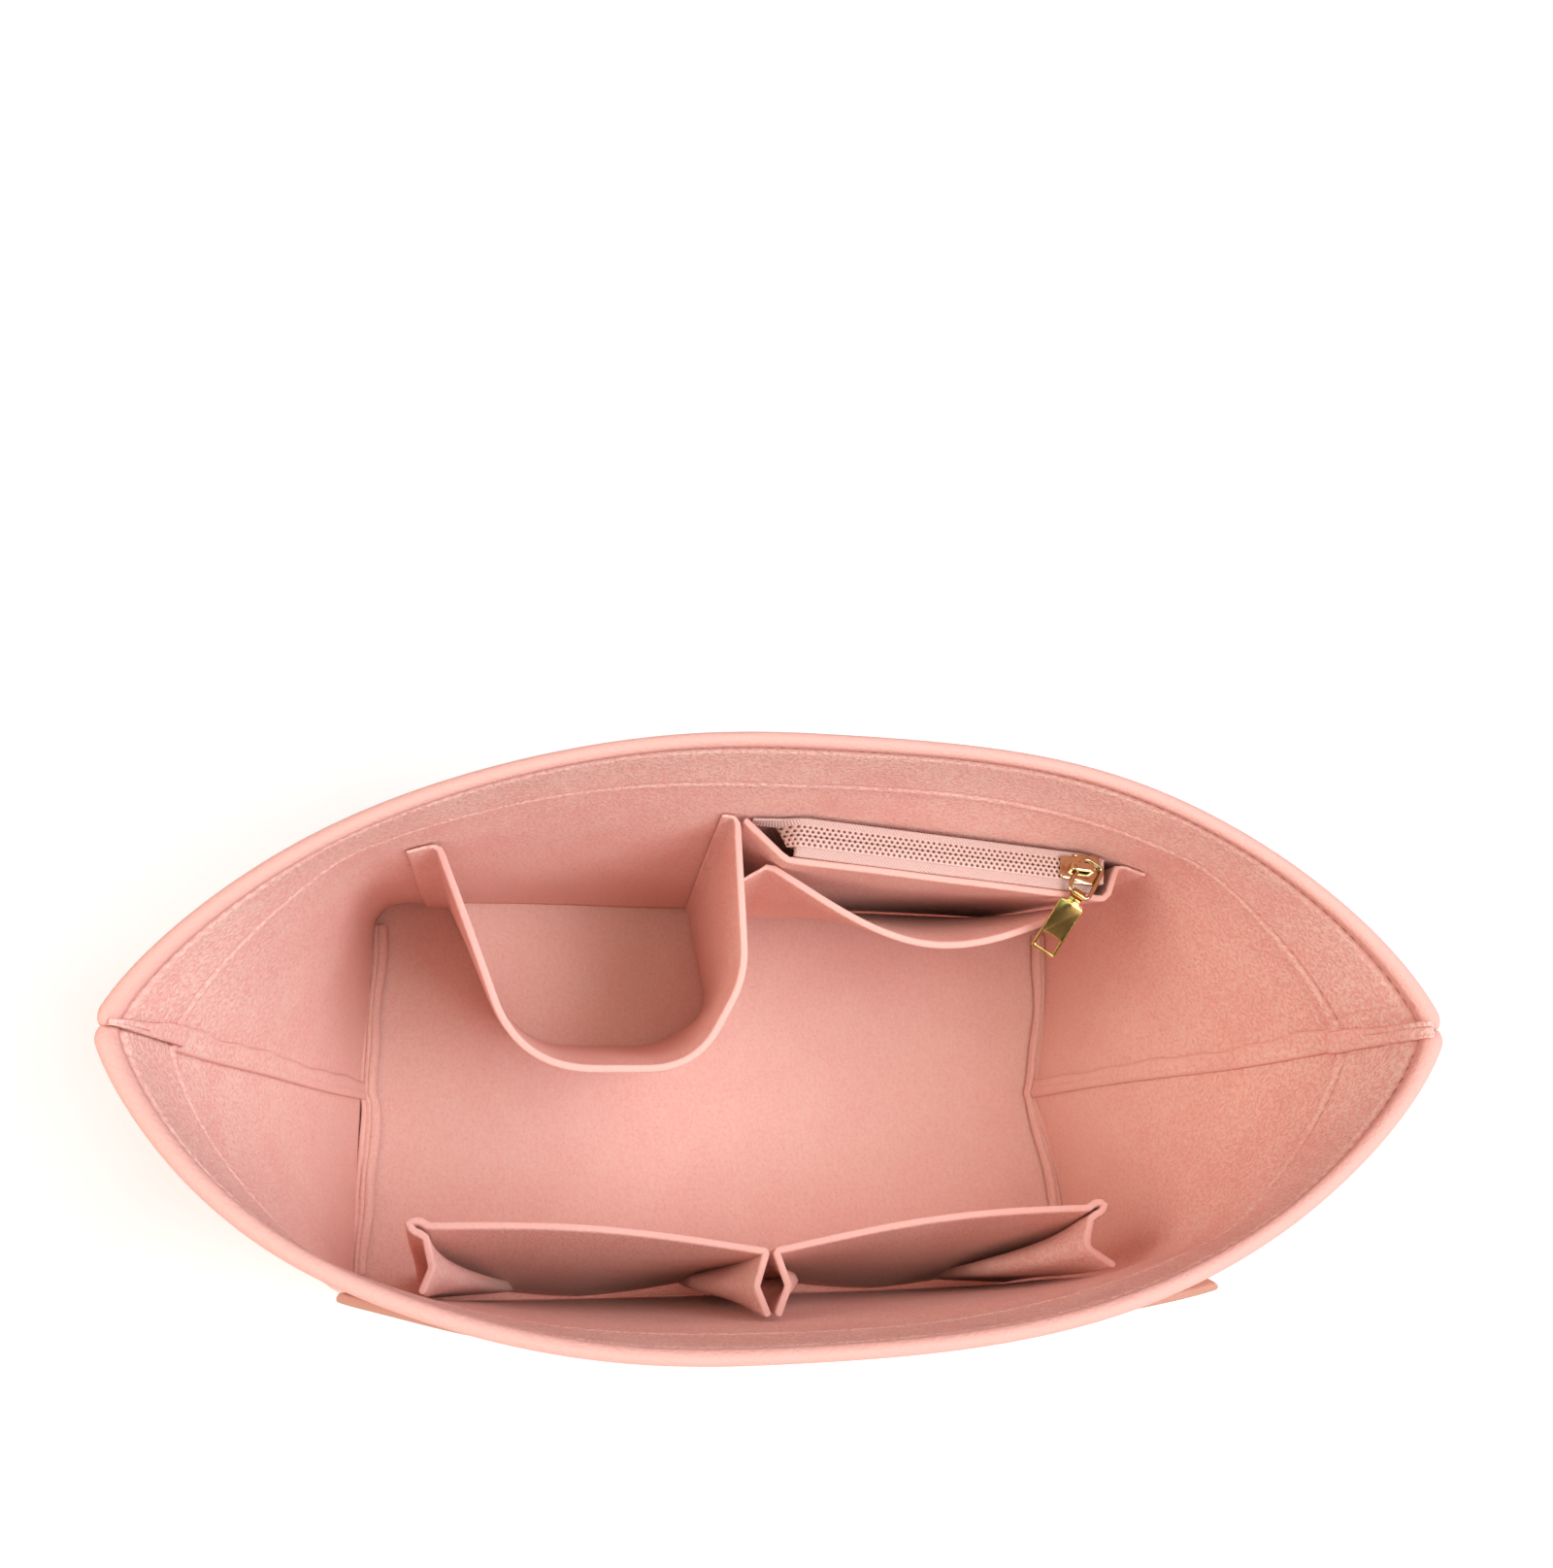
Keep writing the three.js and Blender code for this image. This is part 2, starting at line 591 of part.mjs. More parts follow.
// Wire link, in its own frame: its left leg lies on Y and passes under the bridge
function link() {
  const path = roundedRectangle(0, -LINK_FRONT, LINK_WIDTH, LINK_FRONT + LINK_REAR, LINK_CORNER);
  const middle = path.getPoints(FOLD_STEPS).slice(0, -1);
  const rings = middle.map((point, i) => {
    const before = middle[(i + middle.length - 1) % middle.length];
    const after = middle[(i + 1) % middle.length];
    const way = after.clone().sub(before).normalize();
    const ring = [];
    for (let k = 0; k < WIRE_SIDES; k++) {
      const turn = (2 * Math.PI * k) / WIRE_SIDES;
      const out = (Math.cos(turn) * LINK_WIRE) / 2;
      const up = (Math.sin(turn) * LINK_WIRE) / 2;
      ring.push(new THREE.Vector3(point.x + way.y * out, point.y - way.x * out, up));
    }
    return ring;
  });
  return loft(rings);
}

// Pull tab, in its own frame: a sleeve round the link's front bar on X, and a plate with a window
function tab() {
  const bore = LINK_WIRE / 2 + GAP;
  const round = new THREE.Shape().absarc(0, 0, bore + SLEEVE_WALL, 0, 2 * Math.PI);
  round.holes.push(new THREE.Path().absarc(0, 0, bore, 0, 2 * Math.PI));
  const sleeveCut = { depth: TAB_NECK, bevelEnabled: false, curveSegments: WIRE_SIDES };
  const sleeve = new THREE.ExtrudeGeometry(round, sleeveCut).rotateY(Math.PI / 2);
  sleeve.translate(-TAB_NECK / 2, 0, 0);
  const plateStart = -bore - SLEEVE_WALL;
  const plateLength = TAB_LENGTH + plateStart - SLEEVE_WALL;
  const plate = roundedRectangle(-TAB_WIDTH / 2, -TAB_LENGTH, TAB_WIDTH, plateLength, TAB_CORNER);
  const windowWidth = TAB_WIDTH - 2 * TAB_FRAME;
  const windowFoot = TAB_FRAME - TAB_LENGTH;
  plate.holes.push(roundedRectangle(-windowWidth / 2, windowFoot, windowWidth, TAB_WINDOW, TAB_CORNER / 2));
  const plateCut = { depth: TAB_THICK, bevelEnabled: false, curveSegments: FOLD_STEPS };
  const flat = new THREE.ExtrudeGeometry(plate, plateCut).translate(0, 0, -TAB_THICK / 2);
  const neckLength = 3 * SLEEVE_WALL;
  const neck = new THREE.BoxGeometry(TAB_NECK, neckLength, TAB_THICK);
  neck.translate(0, plateStart + SLEEVE_WALL / 2 - neckLength / 2, 0);
  return joined(sleeve, flat, neck);
}

function piece(name, geometry, material) {
  const mesh = new THREE.Mesh(geometry, material);
  mesh.name = name;
  return mesh;
}

// The front wall, its pockets and the left end are the rear wall and the right end turned half round
const turned = new THREE.Group();
turned.rotation.z = Math.PI;
turned.add(
  piece("front_wall", wall(), felt),
  piece("front_left_pocket", foldedPocket(1), felt),
  piece("front_right_pocket", foldedPocket(-1), felt),
  piece("outer_pocket", outerPocket(), felt),
  piece("left_seam_strip", seamStrip(), felt),
  piece("left_base_strip", baseStrip(), felt),
);

const pullTab = new THREE.Group();
pullTab.position.set(LINK_WIDTH / 2, -LINK_FRONT, 0);
pullTab.rotation.x = THREE.MathUtils.degToRad(PULL_DROOP);
pullTab.add(piece("pull_tab", tab(), gold));

const pullLink = new THREE.Group();
pullLink.position.set(-LINK_SET, 0, linkRise);
pullLink.rotation.z = -THREE.MathUtils.degToRad(PULL_TURN);
pullLink.add(piece("pull_link", link(), gold), pullTab);

const sliderGroup = new THREE.Group();
sliderGroup.position.set(sliderPlace, 0, 0);
sliderGroup.add(piece("zip_slider", slider(), gold), pullLink);

const zip = new THREE.Group();
zip.position.set(zipMiddle.x, zipMiddle.y, ZIP_HEIGHT);
zip.rotation.z = zipAlong.angle();
zip.add(
  piece("zip_rear_tape", rearTape(), weave),
  piece("zip_front_tape", frontTape(), weave),
  piece("zip_rear_coil", coilRow(1), nylon),
  piece("zip_front_coil", coilRow(-1), nylon),
  piece("zip_rear_stop", endStop(1), nylon),
  piece("zip_front_stop", endStop(-1), nylon),
  piece("zip_bottom_stop", bottomStop(), nylon),
  sliderGroup,
);

const insert = new THREE.Group();
insert.add(
  piece("base_panel", basePanel(), felt),
  piece("rear_wall", wall(), felt),
  piece("right_seam_strip", seamStrip(), felt),
  piece("right_base_strip", baseStrip(), felt),
  piece("bottle_pocket", bottlePocket(), felt),
  piece("zip_pocket_panel", zipPocketPanel(), felt),
  piece("slip_pocket", slipPocket(), felt),
  turned,
  zip,
);

export default insert;
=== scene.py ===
"""Felt purse organizer insert: walls and pockets, a coil zip and a gilt pull, dressed over its CAD frame."""
import json
import math

import bmesh
import bpy
import numpy as np
from mathutils import Matrix, Vector


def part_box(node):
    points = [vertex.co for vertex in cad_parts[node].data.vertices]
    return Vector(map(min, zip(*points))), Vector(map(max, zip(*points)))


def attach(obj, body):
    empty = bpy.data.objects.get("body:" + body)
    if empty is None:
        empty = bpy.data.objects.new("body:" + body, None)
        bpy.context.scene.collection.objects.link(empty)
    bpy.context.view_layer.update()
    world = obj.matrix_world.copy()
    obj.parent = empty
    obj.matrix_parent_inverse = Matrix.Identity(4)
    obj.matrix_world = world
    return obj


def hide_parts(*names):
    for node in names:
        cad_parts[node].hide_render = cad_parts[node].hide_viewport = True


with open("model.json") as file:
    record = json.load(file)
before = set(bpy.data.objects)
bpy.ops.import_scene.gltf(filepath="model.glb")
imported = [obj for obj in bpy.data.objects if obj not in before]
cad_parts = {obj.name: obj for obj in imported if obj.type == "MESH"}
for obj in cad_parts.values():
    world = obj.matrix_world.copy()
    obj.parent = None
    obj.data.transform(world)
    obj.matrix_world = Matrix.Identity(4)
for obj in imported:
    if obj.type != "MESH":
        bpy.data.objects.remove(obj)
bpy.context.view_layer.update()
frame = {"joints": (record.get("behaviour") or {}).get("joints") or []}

bl_info = {
    "name": "Felt Bag Insert",
    "version": (1, 0, 0),
    "blender": (4, 5, 0),
    "location": "3D View > Sidebar > Insert",
    "description": "Builds a felt bag insert with sewn pockets, a zipped pocket and a gilt pull",
    "category": "Add Mesh",
}

PLAN_POINTS = 480
PLAN_INDEX = np.arange(PLAN_POINTS + 1)
BEND_STEPS = 12
# A cut edge: its width as a share of the thickness, how square it is, and where its points are.
EDGE_ROUND = 0.42
EDGE_POWER = 3.0
EDGE_PLACES = (0, 0.02, 0.09, 0.22, 0.48, 1)
# The hem: its roll's radius as a share of the pressed felt, its outer groove as a share of the inner one,
# and the length of a stitch with the space after it.
ROLL = 1.06
OUTER_GROOVE = 0.7
STITCH_PITCH = 0.0042
# The zip draws in what lies farther back than this.
REAR_FROM = 0.03
# Length given for the flange of a pocket's end that has none.
NO_FLANGE = -0.01


def size(text, default):
    """Length that a user may change, in metres."""
    return bpy.props.FloatProperty(description=text, default=default, unit="LENGTH", precision=5)


def share(text, default):
    """Plain number that a user may change."""
    return bpy.props.FloatProperty(description=text, default=default, precision=4)


def paint(text, default):
    """Colour that a user may change, in linear values."""
    return bpy.props.FloatVectorProperty(description=text, default=default, subtype="COLOR", min=0, max=1)


def spot(text, default):
    """Place that a user may change."""
    return bpy.props.FloatVectorProperty(description=text, default=default, subtype="TRANSLATION")


class InsertBody(bpy.types.PropertyGroup):
    """Sizes of the base, the walls and their hem."""

    felt: size("Thickness of the felt", 0.003)
    gap: size("Clearance between sewn pieces", 0.0003)
    base_length: size("Length of the base", 0.294)
    base_width: size("Width of the base", 0.162)
    base_corner: size("Radius of the base's corners", 0.014)
    height: size("Height of the rim above the table", 0.2)
    rim_length: size("Length of the mouth from seam to seam", 0.405)
    rim_depth: size("Width of the mouth at its middle", 0.183)
    rim_lean: size("How far the fullest point of a wall's rim is set to one side", 0.009)
    tip_power: share("How slowly the rim narrows towards its tips", 2.45)
    side_power: share("How straight the rim runs into its tips", 0.75)
    hem_depth: size("Depth of the folded hem", 0.038)
    pressed: size("Thickness of each layer of felt in the sewn hem", 0.0022)
    upper_stitch: size("Distance of the upper stitch row from the top of the rim", 0.0058)
    lower_stitch: size("Distance of the lower stitch row from the hem's edge", 0.0035)
    groove: size("How deep the stitch rows pull the felt in", 0.0006)
    dent: size("How far the right end is pushed in at the foot of its seam", 0.0125)
    wave: size("Height of the slow waves in the felt", 0.0003)


class InsertPockets(bpy.types.PropertyGroup):
    """Sizes and places of the sewn pockets."""

    bottle_drop: size("Bottle pocket's top below the hem", 0.030)
    bottle_left: size("Left fold of the bottle pocket along the wall's foot", -0.119)
    bottle_right: size("Right fold of the bottle pocket along the wall's foot", -0.014)
    bottle_depth: size("How far the bottle pocket's mouth stands out", 0.082)
    bottle_foot_depth: size("How far the bottle pocket's foot stands out", 0.059)
    bottle_side_depth: size("Depth of the bottle pocket's right side at its mouth", 0.051)
    bottle_side_foot: size("Depth of the bottle pocket's right side at its foot", 0.046)
    bottle_front_left: size("Left corner of the bottle pocket's front", -0.086)
    bottle_front_right: size("Right corner of the bottle pocket's front", -0.028)
    bottle_top_right: size("Right side of the bottle pocket at its mouth", -0.011)
    bottle_foot_right: size("Right side of the bottle pocket at its foot", -0.0045)
    bottle_bend: size("Radius of the bottle pocket's front corners", 0.036)
    bottle_left_flange: size("Width of the bottle pocket's left flange", 0.011)
    bottle_right_flange: size("Width of the bottle pocket's right flange", 0.0055)
    fold: size("Radius of the sharp folds", 0.004)
    zip_drop: size("Zip below the hem", 0.032)
    zip_left: size("Left end of the zip pocket along the wall's foot", -0.004)
    zip_right: size("Right end of the zip pocket along the wall's foot", 0.126)
    zip_reach: size("Distance of the zip from the wall's chord", 0.006)
    zip_flange: size("Width of the zip pocket's right flange", 0.012)
    zip_slant: size("How far the zip pocket's left end slants in", 0.009)
    zip_foot: size("Height of the zip pocket's foot", 0.012)
    slip_drop: size("Slip pocket's top below the zip", 0.011)
    slip_depth: size("How far the slip pocket's mouth bellies out", 0.0197)
    slip_side: size("Slip pocket's distance from the panel's right end", 0.005)
    slip_rise: size("Slip pocket's foot above the zip pocket's foot", 0.004)
    front_drop: size("Front pockets' top below the hem", 0.044)
    front_end: size("Outer end of a front pocket along the wall's foot", 0.121)
    front_depth: size("How far a front pocket stands out", 0.022)
    front_foot: size("Height of the front pockets' foot", 0.008)
    front_bow: size("How far a front pocket's mouth bows out", 0.0026)
    gusset_fold: size("How far a front pocket's ends fold in at its mouth", 0.005)
    gusset_reach: size("Farthest that a front pocket's ends fold in below its mouth", 0.042)
    loop: size("Length of the pinched loop at a front pocket's corner", 0.0056)
    outer_drop: size("Outer pocket's top below the rim", 0.050)
    outer_foot_half: size("Half length of the outer pocket's foot", 0.124)
    outer_top_half: size("Half length of the outer pocket's top", 0.141)
    outer_slack: size("Room between the outer pocket and the wall", 0.0002)
    outer_mouth: size("How far the outer pocket's mouth stands off", 0.0006)
    outer_flare: size("How far the outer pocket's right top corner turns out", 0.0092)
    outer_foot: size("Height of the outer pocket's foot", 0.012)


class InsertZip(bpy.types.PropertyGroup):
    """Sizes of the zip and its pull."""

    tape: size("Thickness of the zip's tape", 0.0008)
    tape_seen: size("Width of tape seen beside the chain", 0.0031)
    coil_width: size("Width of one row of the coil", 0.0041)
    coil_height: size("Height of the coil", 0.0026)
    coil_pitch: size("Length of one turn of the coil", 0.00205)
    coil_wire: size("Radius of the coil's wire", 0.00048)
    slider_length: size("Length of the slider", 0.015)
    slider_width: size("Width of the slider", 0.011)
    slider_plate: size("Thickness of the slider's plates", 0.0012)
    bridge_length: size("Length of the slider's bridge", 0.009)
    bridge_width: size("Width of the slider's bridge", 0.0028)
    bridge_thick: size("Thickness of the slider's bridge", 0.0013)
    link_wire: size("Thickness of the link's wire", 0.0015)
    link_width: size("Width of the link", 0.0082)
    link_front: size("Link's front bar from the bridge", 0.0092)
    link_rear: size("Link's rear bar from the bridge", 0.0046)
    tab_length: size("Length of the pull tab", 0.024)
    tab_width: size("Width of the pull tab", 0.0094)
    tab_neck: size("Width of the pull tab's neck", 0.0046)
    tab_thick: size("Thickness of the pull tab", 0.0014)
    tab_frame: size("Width of metal round the tab's window", 0.0012)
    tab_window: size("Length of the tab's window", 0.0056)


class InsertFinish(bpy.types.PropertyGroup):
    """Colours of the felt, the thread, the zip and the metal."""

    felt_pink: paint("Colour of the felt", (0.96, 0.64, 0.545))
    # Also the first step of painted shade on the rim's top, the stitch rows and the seam ends.
    felt_deep: paint("Colour between the felt's fibres", (0.90, 0.45, 0.392))
    felt_pale: paint("Colour of the felt's cut edges", (0.86, 0.455, 0.39))
    # Painted shade colour, for the outer pocket's edges, the rim's top, the stitch rows and the zip's holes
    # and bottom stop.
    felt_raw: paint("Colour of raw and rubbed felt", (0.59, 0.28, 0.205))
    thread_pink: paint("Colour of the sewing thread", (0.86, 0.46, 0.39))
    tape_pink: paint("Colour of the zip's tape", (0.90, 0.57, 0.51))
    coil_pink: paint("Colour of the zip's coil", (0.84, 0.54, 0.48))
    # Darker than the slider's gilt: painted dark reflection on the tab.
    gilt: paint("Colour of the gilt tab", (0.64, 0.35, 0.11))
    gilt_pale: paint("Colour of the gilt slider and link", (0.72, 0.57, 0.33))
    floor: paint("Colour of the floor", (0.97, 0.965, 0.96))


class InsertStage(bpy.types.PropertyGroup):
    """Camera and lights."""

    eye: spot("Place of the camera", (-0.09364, -0.06024, 0.63903))
    aim: spot("Point that the camera looks at", (0.00725, 0.10523, 0.1))
    roll: bpy.props.FloatProperty(description="Turn of the camera", default=-0.022, subtype="ANGLE")
    lens: share("Focal length for a 36 mm sensor", 1572.3 * 36 / 1615)
    left: share("Power of the warm light on the left in watts", 18.5)
    right: share("Power of the cool light on the right in watts", 23.0)
    side: share("Power of the low light on the right in watts", 4.6)
    front: share("Power of the light in front in watts", 10.0)
    rear: share("Power of the light behind in watts", 10.5)
    top: share("Power of the light overhead in watts", 3.2)
    sky: share("Strength of the even light", 0.1)


def lengths(line, axis=0):
    """Length of a line, or of a grid along an axis, up to each of its points."""
    steps = np.linalg.norm(np.diff(line, axis=axis), axis=-1)
    return np.insert(np.cumsum(steps, axis=axis), 0, 0, axis=axis)


def joined(*coordinates):
    """Points from their coordinates."""
    return np.stack(np.broadcast_arrays(*coordinates), axis=-1)


def found(at, along, line):
    """Points of a line at these lengths along it."""
    return np.stack([np.interp(at, along, line[:, k]) for k in range(line.shape[1])], axis=-1)


def even(line, shares):
    """Points of a line at shares of its length."""
    along = lengths(line)
    return found(np.asarray(shares) * along[-1], along, line)


def between(low, high, part):
    """Value part of the way from low to high."""
    return low + (high - low) * part


def right_of(way):
    """Plan direction a quarter turn to the right."""
    return joined(way[..., 1], -way[..., 0])


def facing(v, way):
    """Vector or its opposite, whichever faces a way."""
    return v if v @ np.asarray(way) > 0 else -v


def hump(x, width, power=2):
    """Bell that is 1 at nought and fades over a width."""
    return np.exp(-((x / width) ** power))


def unit(v):
    """Vectors of length one."""
    return v / np.maximum(np.linalg.norm(v, axis=-1, keepdims=True), 1e-12)


def ways(line):
    """Directions along a line."""
    return unit(np.gradient(line, axis=0))


def rounded(corners):
    """Line through corners, given as (point, radius), with each bend cut short where its sides are."""
    line = [np.asarray(corners[0][0], float)]
    for i in range(1, len(corners) - 1):
        corner, radius = np.asarray(corners[i][0], float), corners[i][1]
        if not radius:
            line.append(corner)
            continue
        back, on = np.asarray(corners[i - 1][0]) - corner, np.asarray(corners[i + 1][0]) - corner
        cosine = np.clip(unit(back) @ unit(on), -1, 1)
        half = max(math.acos(cosine) / 2, 1e-3)
        room = 0.45 * min(np.linalg.norm(back), np.linalg.norm(on))
        reach = min(radius / math.tan(half), room) if half < 1.57 else 0.01 * room
        start, end = corner + unit(back) * reach, corner + unit(on) * reach
        for t in np.linspace(0, 1, BEND_STEPS + 1):
            line.append((1 - t) ** 2 * start + 2 * t * (1 - t) * corner + t**2 * end)
    line.append(np.asarray(corners[-1][0], float))
    return np.array(line)


def close_set(length, step, edge):
    """Places from 0 to a length, close-set within an edge's width of both ends."""
    near = np.array(EDGE_PLACES) * edge
    middle = np.linspace(edge, length - edge, max(int((length - 2 * edge) / step), 2) + 1)
    return np.concatenate([near[:-1], middle, length - near[-2::-1]])


class WallPlan:
    """Plan lines of the rear wall, ruled from the base's outline to the rim's. The front is it, turned."""

    def __init__(self, b):
        self.b = b
        self.kept = {}
        self.half_run = (b.base_length + b.base_width) / 2

    def ends(self, inset):
        """Lines of the foot and the rim at an inset."""
        key = round(inset, 6)
        if key not in self.kept:
            b = self.b
            end, side = b.base_length / 2 - inset, b.base_width / 2 - inset
            r = max(b.base_corner - inset, b.gap)
            turn = np.linspace(math.pi, math.pi / 2, BEND_STEPS + 1)
            left = joined(r - end + r * np.cos(turn), side - r + r * np.sin(turn))
            right = left[::-1] * (-1, 1)
            base = np.concatenate([[(-end, 0)], left, right, [(end, 0)]])
            u = np.sin(np.linspace(-0.5, 0.5, PLAN_POINTS + 1) * math.pi)
            full = np.maximum(1 - np.abs(u) ** b.tip_power, 0) ** b.side_power
            half = b.rim_length / 2 - inset * math.sqrt(2)
            deep = b.rim_depth / 2 - inset
            rim = joined(u * half + b.rim_lean * (1 - u * u), deep * full)
            places = np.linspace(0, 1, PLAN_POINTS + 1)
            self.kept[key] = even(base, places), even(rim, places)
        return self.kept[key]

    def line(self, z, inset):
        """Plan line at a height and at an inset from the wall's outer face."""
        foot, rim = self.ends(inset)
        return between(foot, rim, z / self.b.height)

    def at(self, along, z, distance):
        """Point by the wall: along its foot from the middle, at a height, so far in from its inner face."""
        line = self.line(z, self.b.felt)
        place = (np.asarray(along, float) / self.half_run + 1) * PLAN_POINTS / 2
        normal = found(place, PLAN_INDEX, right_of(ways(line)))
        return found(place, PLAN_INDEX, line) + unit(normal) * distance


def settings():
    """Settings of the body, the pockets, the zip and the finish."""
    scene = bpy.context.scene
    return scene.insert_body, scene.insert_pockets, scene.insert_zip, scene.insert_finish


def soften(points):
    """Points moved as sewn felt stands: slow waves, and the right end pushed in at the foot of its seam."""
    b = settings()[0]
    p = np.asarray(points, float)
    x, y, z = p[..., 0], p[..., 1], p[..., 2]
    rng = np.random.default_rng(11)
    count, shortest, longest = 7, 0.07, 0.2
    moved = p.copy()
    for _ in range(count):
        way = unit(rng.normal(size=3)) * 2 * math.pi / rng.uniform(shortest, longest)
        push = unit(rng.normal(size=3)) * b.wave * (0.6, 1, 0.8)
        moved += np.sin(p @ way + rng.uniform(0, 6.3))[..., None] * push
    moved[..., 2] = between(z, moved[..., 2], np.clip(z / 0.02, 0, 1))
    moved[..., 2] += 0.0009 * np.clip(z / b.height, 0, 1) ** 6 * np.sin(x * 38 + y * 17)
    start, wide, sharp, tall = 0.085, 0.034, 0.008, 0.075
    end = np.clip((x - start) / (b.base_length / 2 - start), 0, 1)
    across = hump(y, wide) * (0.75 + 0.25 * np.exp(-np.abs(y) / sharp))
    moved[..., 0] -= b.dent * end**2.2 * across * hump(z, tall)
    return moved


def add_piece(name, points, faces, material, masks=None):
    """Mesh object from points and faces, smooth, facing out, with a pale mask for each point."""
    mesh = bpy.data.meshes.new(name)
    mesh.from_pydata([tuple(p) for p in points], [], [tuple(int(i) for i in f) for f in faces])
    mesh.update()
    if masks is not None:
        pale = mesh.attributes.new("pale", "FLOAT", "POINT")
        pale.data.foreach_set("value", np.asarray(masks, np.float32))
    build = bmesh.new()
    build.from_mesh(mesh)
    if build.calc_volume(signed=True) < 0:
        bmesh.ops.reverse_faces(build, faces=build.faces)
    build.to_mesh(mesh)
    build.free()
    mesh.polygons.foreach_set("use_smooth", np.ones(len(mesh.polygons), bool))
    piece = bpy.data.objects.new(name, mesh)
    bpy.context.scene.collection.objects.link(piece)
    mesh.materials.append(material)
    return piece


def grid_faces(index):
    """Quads of a grid of point numbers."""
    corners = [index[:-1, :-1], index[1:, :-1], index[1:, 1:], index[:-1, 1:]]
    return np.stack(corners, axis=-1).reshape(-1, 4)


def skin_faces(nu, nv):
    """Quads of an upper grid, and of a lower one that shares its border and whose inner points come next."""
    upper = np.arange(nu * nv).reshape(nu, nv)
    lower = upper.copy()
    lower[1:-1, 1:-1] = nu * nv + np.arange((nu - 2) * (nv - 2)).reshape(nu - 2, nv - 2)
    return np.concatenate([grid_faces(upper), grid_faces(lower)[:, ::-1]])


def ring_faces(count, sides, closed=False):
    """Quads round a row of rings, with faces over its ends or, if closed, from its last ring to its first."""
    index = np.arange(count * sides).reshape(count, sides)
    wrapped = np.concatenate([index, index[:, :1]], axis=1)
    if closed:
        return [tuple(f) for f in grid_faces(np.concatenate([wrapped, wrapped[:1]]))]
    return [tuple(f) for f in grid_faces(wrapped)] + [tuple(index[0]), tuple(index[-1][::-1])]


def edge_distance(grid, axis):
    """Distance of each grid point to the nearer end of its row."""
    along = lengths(grid, axis)
    return np.minimum(along, np.take(along, [-1], axis=axis) - along)


def edge_rise(distance, width):
    """Share of the full thickness at a distance from a cut edge."""
    x = np.clip(distance / width, 0, 1)
    return (1 - (1 - x) ** EDGE_POWER) ** (1 / EDGE_POWER)


def grid_normals(grid):
    """Normals of a grid of points."""
    return unit(np.cross(np.gradient(grid, axis=0), np.gradient(grid, axis=1)))


def felt_sheet(name, grid, thick, material, thin=None, raw=0.0):
    """Closed felt with cut edges round a grid down its middle, and its flat width, length and area."""
    edge = thick * EDGE_ROUND
    du, dv = edge_distance(grid, 0), edge_distance(grid, 1)
    near = np.minimum(du, dv)
    half = thick / 2 * edge_rise(du, edge) * edge_rise(dv, edge)
    pale = 1 - np.clip(near / (1.3 * edge), 0, 1)
    if thin is not None:
        half = half * thin
        pale = pale * np.clip(2 * thin - 1, 0, 1)
    # A share of painted shade darkens the edges and a band beside them, in place of the pale cut edges.
    if raw:
        pale = -raw * np.clip(1.6 - near / (4 * edge), 0, 1)
    up = grid_normals(grid) * half[..., None]
    points = np.concatenate([(grid + up).reshape(-1, 3), (grid - up)[1:-1, 1:-1].reshape(-1, 3)])
    masks = np.concatenate([pale.reshape(-1), pale[1:-1, 1:-1].reshape(-1)])
    piece = add_piece(name, points, skin_faces(*grid.shape[:2]), material, masks)
    a, c = grid[:-1, :-1] - grid[1:, 1:], grid[1:, :-1] - grid[:-1, 1:]
    area = np.linalg.norm(np.cross(a, c), axis=-1).sum() / 2
    return piece, (float(lengths(grid, 0).max()), float(lengths(grid, 1).max()), float(area))


def standing_grid(rows, heights, step=0.002, wavy=0.0004, turned=False):
    """Grid through plan lines of equal counts at their heights, close-set at its edges, wavy at its top."""
    edge = settings()[0].felt * EDGE_ROUND
    rows = np.array(rows)
    steps = np.linalg.norm(np.diff(rows, axis=1), axis=2)
    along = np.concatenate([[0], np.cumsum(steps.mean(axis=0) + 1e-9)])
    places = close_set(along[-1], step, edge)
    lines = np.stack([found(places, along, row) for row in rows])
    tall = heights[-1] - heights[0]
    rise = heights[0] + close_set(tall, 1.6 * step, edge)
    grid = np.zeros((len(places), len(rise), 3))
    for i in range(len(places)):
        grid[i, :, :2] = found(rise, heights, lines[:, i])
    swing = np.sin(places * 61 + 1.3) + 0.6 * np.sin(places * 147 + 0.4)
    grid[..., 2] = rise + wavy * swing[:, None] * ((rise - heights[0]) / tall) ** 4
    if turned:
        grid[..., :2] *= -1
    return soften(grid)


def declare(piece, node_name):
    """Sheet that stands for a CAD node and rides with the insert, declared with its cut size."""
    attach(piece, "insert")
    if node_name:
        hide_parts(node_name)


def sew(name, node_name, grid, thick, held, rests_on, **cut):
    """Felt sheet round a grid, made and declared."""
    piece, flat = felt_sheet(name, grid, thick, felt_material(), **cut)
    declare(piece, node_name)


